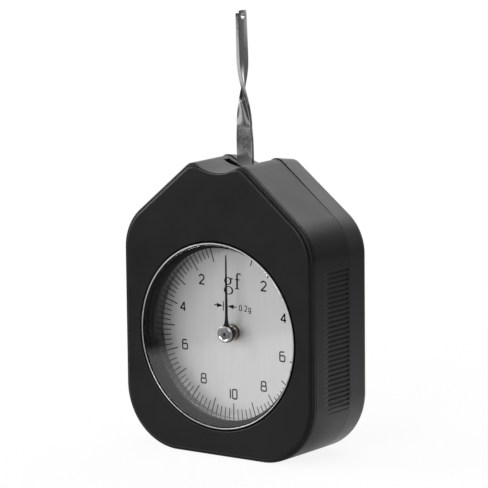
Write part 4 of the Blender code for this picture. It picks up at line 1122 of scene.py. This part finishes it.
bush_corners = [(0.62, -6.2), (1.8, -6.2), (1.8, -4.95), (1.3, -4.95), (1.3, -2.9), (0.62, -2.9)]
bush_rounds = [0.08, 0.22, 0.05, 0, 0.05, 0.05]
bush_profile = rounded(bush_corners, bush_rounds, 5, closed=True, hold=0.03) * mm
new_piece("needle_bush", [grid(turned(bush_profile, dial_middle, 72), True, True)], hub_steel,
          "case", ["pointer_front_bush"])

# %% [markdown]
# ## The measuring lever
# The lever is a ground steel strip with a quarter turn in it, so it faces the dial below and
# sideways above. A section with rounded edges is carried up the strip and turned by an angle
# that eases in and out. The last rows close over the tip, and a Boolean drills its hole,
# because a hole across a twisted grid would pull its rows apart.

# %% Shape of the lever
pivot_z, lever_top = 64.15 * mm, 115.0 * mm
twist_start, twist_end = 84.75 * mm, 102.65 * mm
neck_start = 80.15 * mm
root_width, neck_width, tip_width = 4.8 * mm, 3.9 * mm, 3.55 * mm
lever_half, lever_edge = 0.525 * mm, 0.1 * mm
tip_lean = 0.967 * mm
eye_radius = 4.0 * mm
tip_round = 0.7 * mm
straight_start, dense_start, dense_end, straight_end = 69 * mm, 83 * mm, 103.5 * mm, 114.2 * mm


def lever_width(z):
    """Width of the strip: a round eye, a straight root, a waist along the twist and a slim tip."""
    eye_width = 2 * np.sqrt(np.clip(eye_radius ** 2 - (z - pivot_z) ** 2, 0, None))
    waist = (root_width + neck_width) / 2
    lower = np.clip((z - neck_start) / (twist_start - neck_start), 0, 1)
    twist = np.clip((z - twist_start) / (twist_end - twist_start), 0, 1)
    upper = np.clip((z - twist_end) / (lever_top - twist_end), 0, 1)
    strip_width = root_width - (root_width - waist) * lower ** 2
    strip_width = strip_width - (waist - neck_width) * twist * (2 - twist) - (neck_width - tip_width) * upper
    strip_width = np.where(z < pivot_z, 0, strip_width)
    tip = np.clip((z - (lever_top - tip_round)) / tip_round, 0, 1)
    strip_width = strip_width - 2 * tip_round * (1 - np.sqrt(1 - tip ** 2))
    return np.maximum(eye_width, strip_width)


def lever_turn(z):
    """Turn of the section: a quarter turn that eases in and out between two heights."""
    share = np.clip((z - twist_start) / (twist_end - twist_start), 0, 1)
    return -np.pi / 2 * share * share * (3 - 2 * share)


def lever_lean(z):
    """Place of the strip's middle in X: outside the case it leans evenly to the left."""
    return -tip_lean * np.clip((z - body_height) / (lever_top - body_height), 0, 1)


def lever_section(half_widths):
    """Sections across the strip, one for each half width: four corners, each a quarter of a
    circle, which gets narrower where the strip is narrower than it."""
    turns = np.linspace(0, np.pi / 2, 6)
    quarter = np.stack([np.cos(turns), np.sin(turns)], -1)
    corner = np.minimum(lever_edge, half_widths * 0.9)
    corners = []
    for side_x, side_y in ((1, 1), (-1, 1), (-1, -1), (1, -1)):
        part = quarter if side_x * side_y > 0 else quarter[::-1]
        x = side_x * ((half_widths - corner)[:, None] + corner[:, None] * part[None, :, 0])
        y = side_y * ((lever_half - lever_edge) + lever_edge * part[None, :, 1]) + 0 * x
        corners.append(np.stack([x, y], -1))
    return np.concatenate(corners, 1)


lever_z = np.concatenate([pivot_z - eye_radius * np.cos(np.linspace(0.12, np.pi / 2, 16)),
                          np.linspace(pivot_z, pivot_z + eye_radius, 14)[1:],
                          np.linspace(straight_start, dense_start, 15)[:-1],
                          np.linspace(dense_start, dense_end, 103),
                          np.linspace(dense_end, straight_end, 13)[1:],
                          lever_top - tip_round * (1 - np.sin(np.linspace(0, np.pi / 2, 9)[1:]))])
section = lever_section(lever_width(lever_z) / 2)
turn = lever_turn(lever_z)[:, None]
lever_x = section[..., 0] * np.cos(turn) - section[..., 1] * np.sin(turn) + lever_lean(lever_z)[:, None]
lever_y = section[..., 0] * np.sin(turn) + section[..., 1] * np.cos(turn) + slot_y
strip = np.stack([lever_x, lever_y, lever_z[:, None] + 0 * lever_x], -1)
print("Rows and columns of the lever:", strip.shape[:2])


# %% Lever
hole_radius, hole_z = 0.8 * mm, lever_top - 1.6 * mm
drill_start, drill_end = -3 * mm, 2 * mm
bore_radius, bore_half_length = 1.85 * mm, 2 * mm


def capped(name, tube):
    """Plain object from a grid of closed rows, with a face over its first and its last row."""
    numbers = np.arange(tube.shape[1])
    ends = [(tube[0], numbers[None, ::-1]), (tube[-1], numbers[None])]
    made = bpy.data.objects.new(name, merged_mesh(name, [grid(tube, wrap_columns=True)] + ends)[0])
    scene.collection.objects.link(made)
    return made


def cutter(name, centre, radius, low, high, axis):
    """Rod from low to high along an axis, 0 for X or 1 for Y, round a centre in the other two."""
    angle = np.arange(40) * 2 * np.pi / 40
    flat = np.array(centre) + radius * np.stack([np.cos(angle), np.sin(angle)], -1)
    return capped(name, np.stack([np.insert(flat, axis, end, axis=1) for end in (low, high)]))


lever = capped("measuring_lever", strip)
cutters = [cutter("drill", (slot_y, hole_z), hole_radius, drill_start, drill_end, 0),
           cutter("bore", (0, pivot_z), bore_radius, -bore_half_length, bore_half_length, 1)]
for rod in cutters:
    step = lever.modifiers.new("hole", "BOOLEAN")
    step.operation = "DIFFERENCE"
    step.solver = "EXACT"
    step.object = rod
graph = bpy.context.evaluated_depsgraph_get()
graph.update()
bored = bpy.data.meshes.new_from_object(lever.evaluated_get(graph))
lever.modifiers.clear()
lever.data = bored
for rod in cutters:
    bpy.data.objects.remove(rod, do_unlink=True)
lever.data.materials.clear()
lever.data.materials.append(ground_steel)
lever.data.shade_smooth()
lever.data.set_sharp_from_angle(angle=np.radians(38))
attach(lever, "lever")
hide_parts("lever")
print("Lever faces:", len(lever.data.polygons))

# %% [markdown]
# ## Screws in the back
# Four cross-head screws sit in round recesses in the cover. The head is a turned dome, and
# the cross is pressed into it by lowering every point that lies inside two crossed bars,
# with steep sides.

# %% Case screws
head_y = 12.45 * mm
head_flat, head_radius, head_round, crown_height = 1.9 * mm, 2.2 * mm, 0.3 * mm, 0.12 * mm
cross_half, cross_slope, cross_depth = 0.28 * mm, 0.08 * mm, 0.75 * mm
cross_reach, cross_end = 1.2 * mm, 0.25 * mm

# Radii of the head's rows and corners of the shank's profile, in millimetres.
head_rows = np.concatenate([np.linspace(0, head_flat / mm, 58), [1.98, 2.06, 2.13, 2.18, 2.2]]) * mm
shank_corners = np.array([(2.2, 11.15), (1.2, 11.15), (1.2, -1.6), (0.9, -1.85), (0, -1.85)]) * mm

screw_turn = np.arange(120) * 2 * np.pi / 120 + np.pi / 4
bend = np.clip((head_rows - head_flat) / head_round, 0, 1)
crown = head_round * (1 - np.sqrt(1 - bend ** 2)) + crown_height * (head_rows / head_radius) ** 2
head_x, head_z = head_rows[:, None] * np.cos(screw_turn), head_rows[:, None] * np.sin(screw_turn)
bar = np.maximum(1 - np.clip((np.abs(head_x) - cross_half) / cross_slope, 0, 1),
                 1 - np.clip((np.abs(head_z) - cross_half) / cross_slope, 0, 1))
reach = 1 - np.clip((head_rows[:, None] - cross_reach) / cross_end, 0, 1)
head = np.stack([head_x, head_y - crown[:, None] - cross_depth * bar * reach, head_z], -1)
shank = np.stack([shank_corners[:, :1] * np.cos(screw_turn), shank_corners[:, 1:] + 0 * screw_turn,
                  shank_corners[:, :1] * np.sin(screw_turn)], -1)
screw = np.concatenate([head, shank])
for number, (x, z) in enumerate(post_places, start=1):
    new_piece(f"cover_screw_{number}", [grid(screw + np.array([x, 0, z]), wrap_columns=True)],
              turned_steel, "case", [f"case_screw_{number}"], sharp=45)

# %% [markdown]
# ## Finishes for the parts inside
# The movement is made of brass plates and steel pins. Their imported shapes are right, so they
# only get a better finish, chosen by the slot that the record gives each of them.

# %% Inner parts
rubber = moulded_plastic("seal_rubber", 0.004, 0.7, 0.01 * mm, 0.05)
by_slot = {"steel": turned_steel, "brass": brass, "spring_steel": blued_steel, "rubber": rubber,
           "bright_ring": bright_plate, "lever_steel": ground_steel, "gloss_black": gloss_black,
           "black_plastic": case_plastic, "clear_lens": clear, "dial_paint": silver}
slots = {part["node"]: part["material_slot"] for part in frame["record"]["subparts"]}
for name, part in nodes.items():
    part.data.materials.clear()
    part.data.materials.append(by_slot[slots[name]])
print("Packed parts with a new finish:", len(nodes))
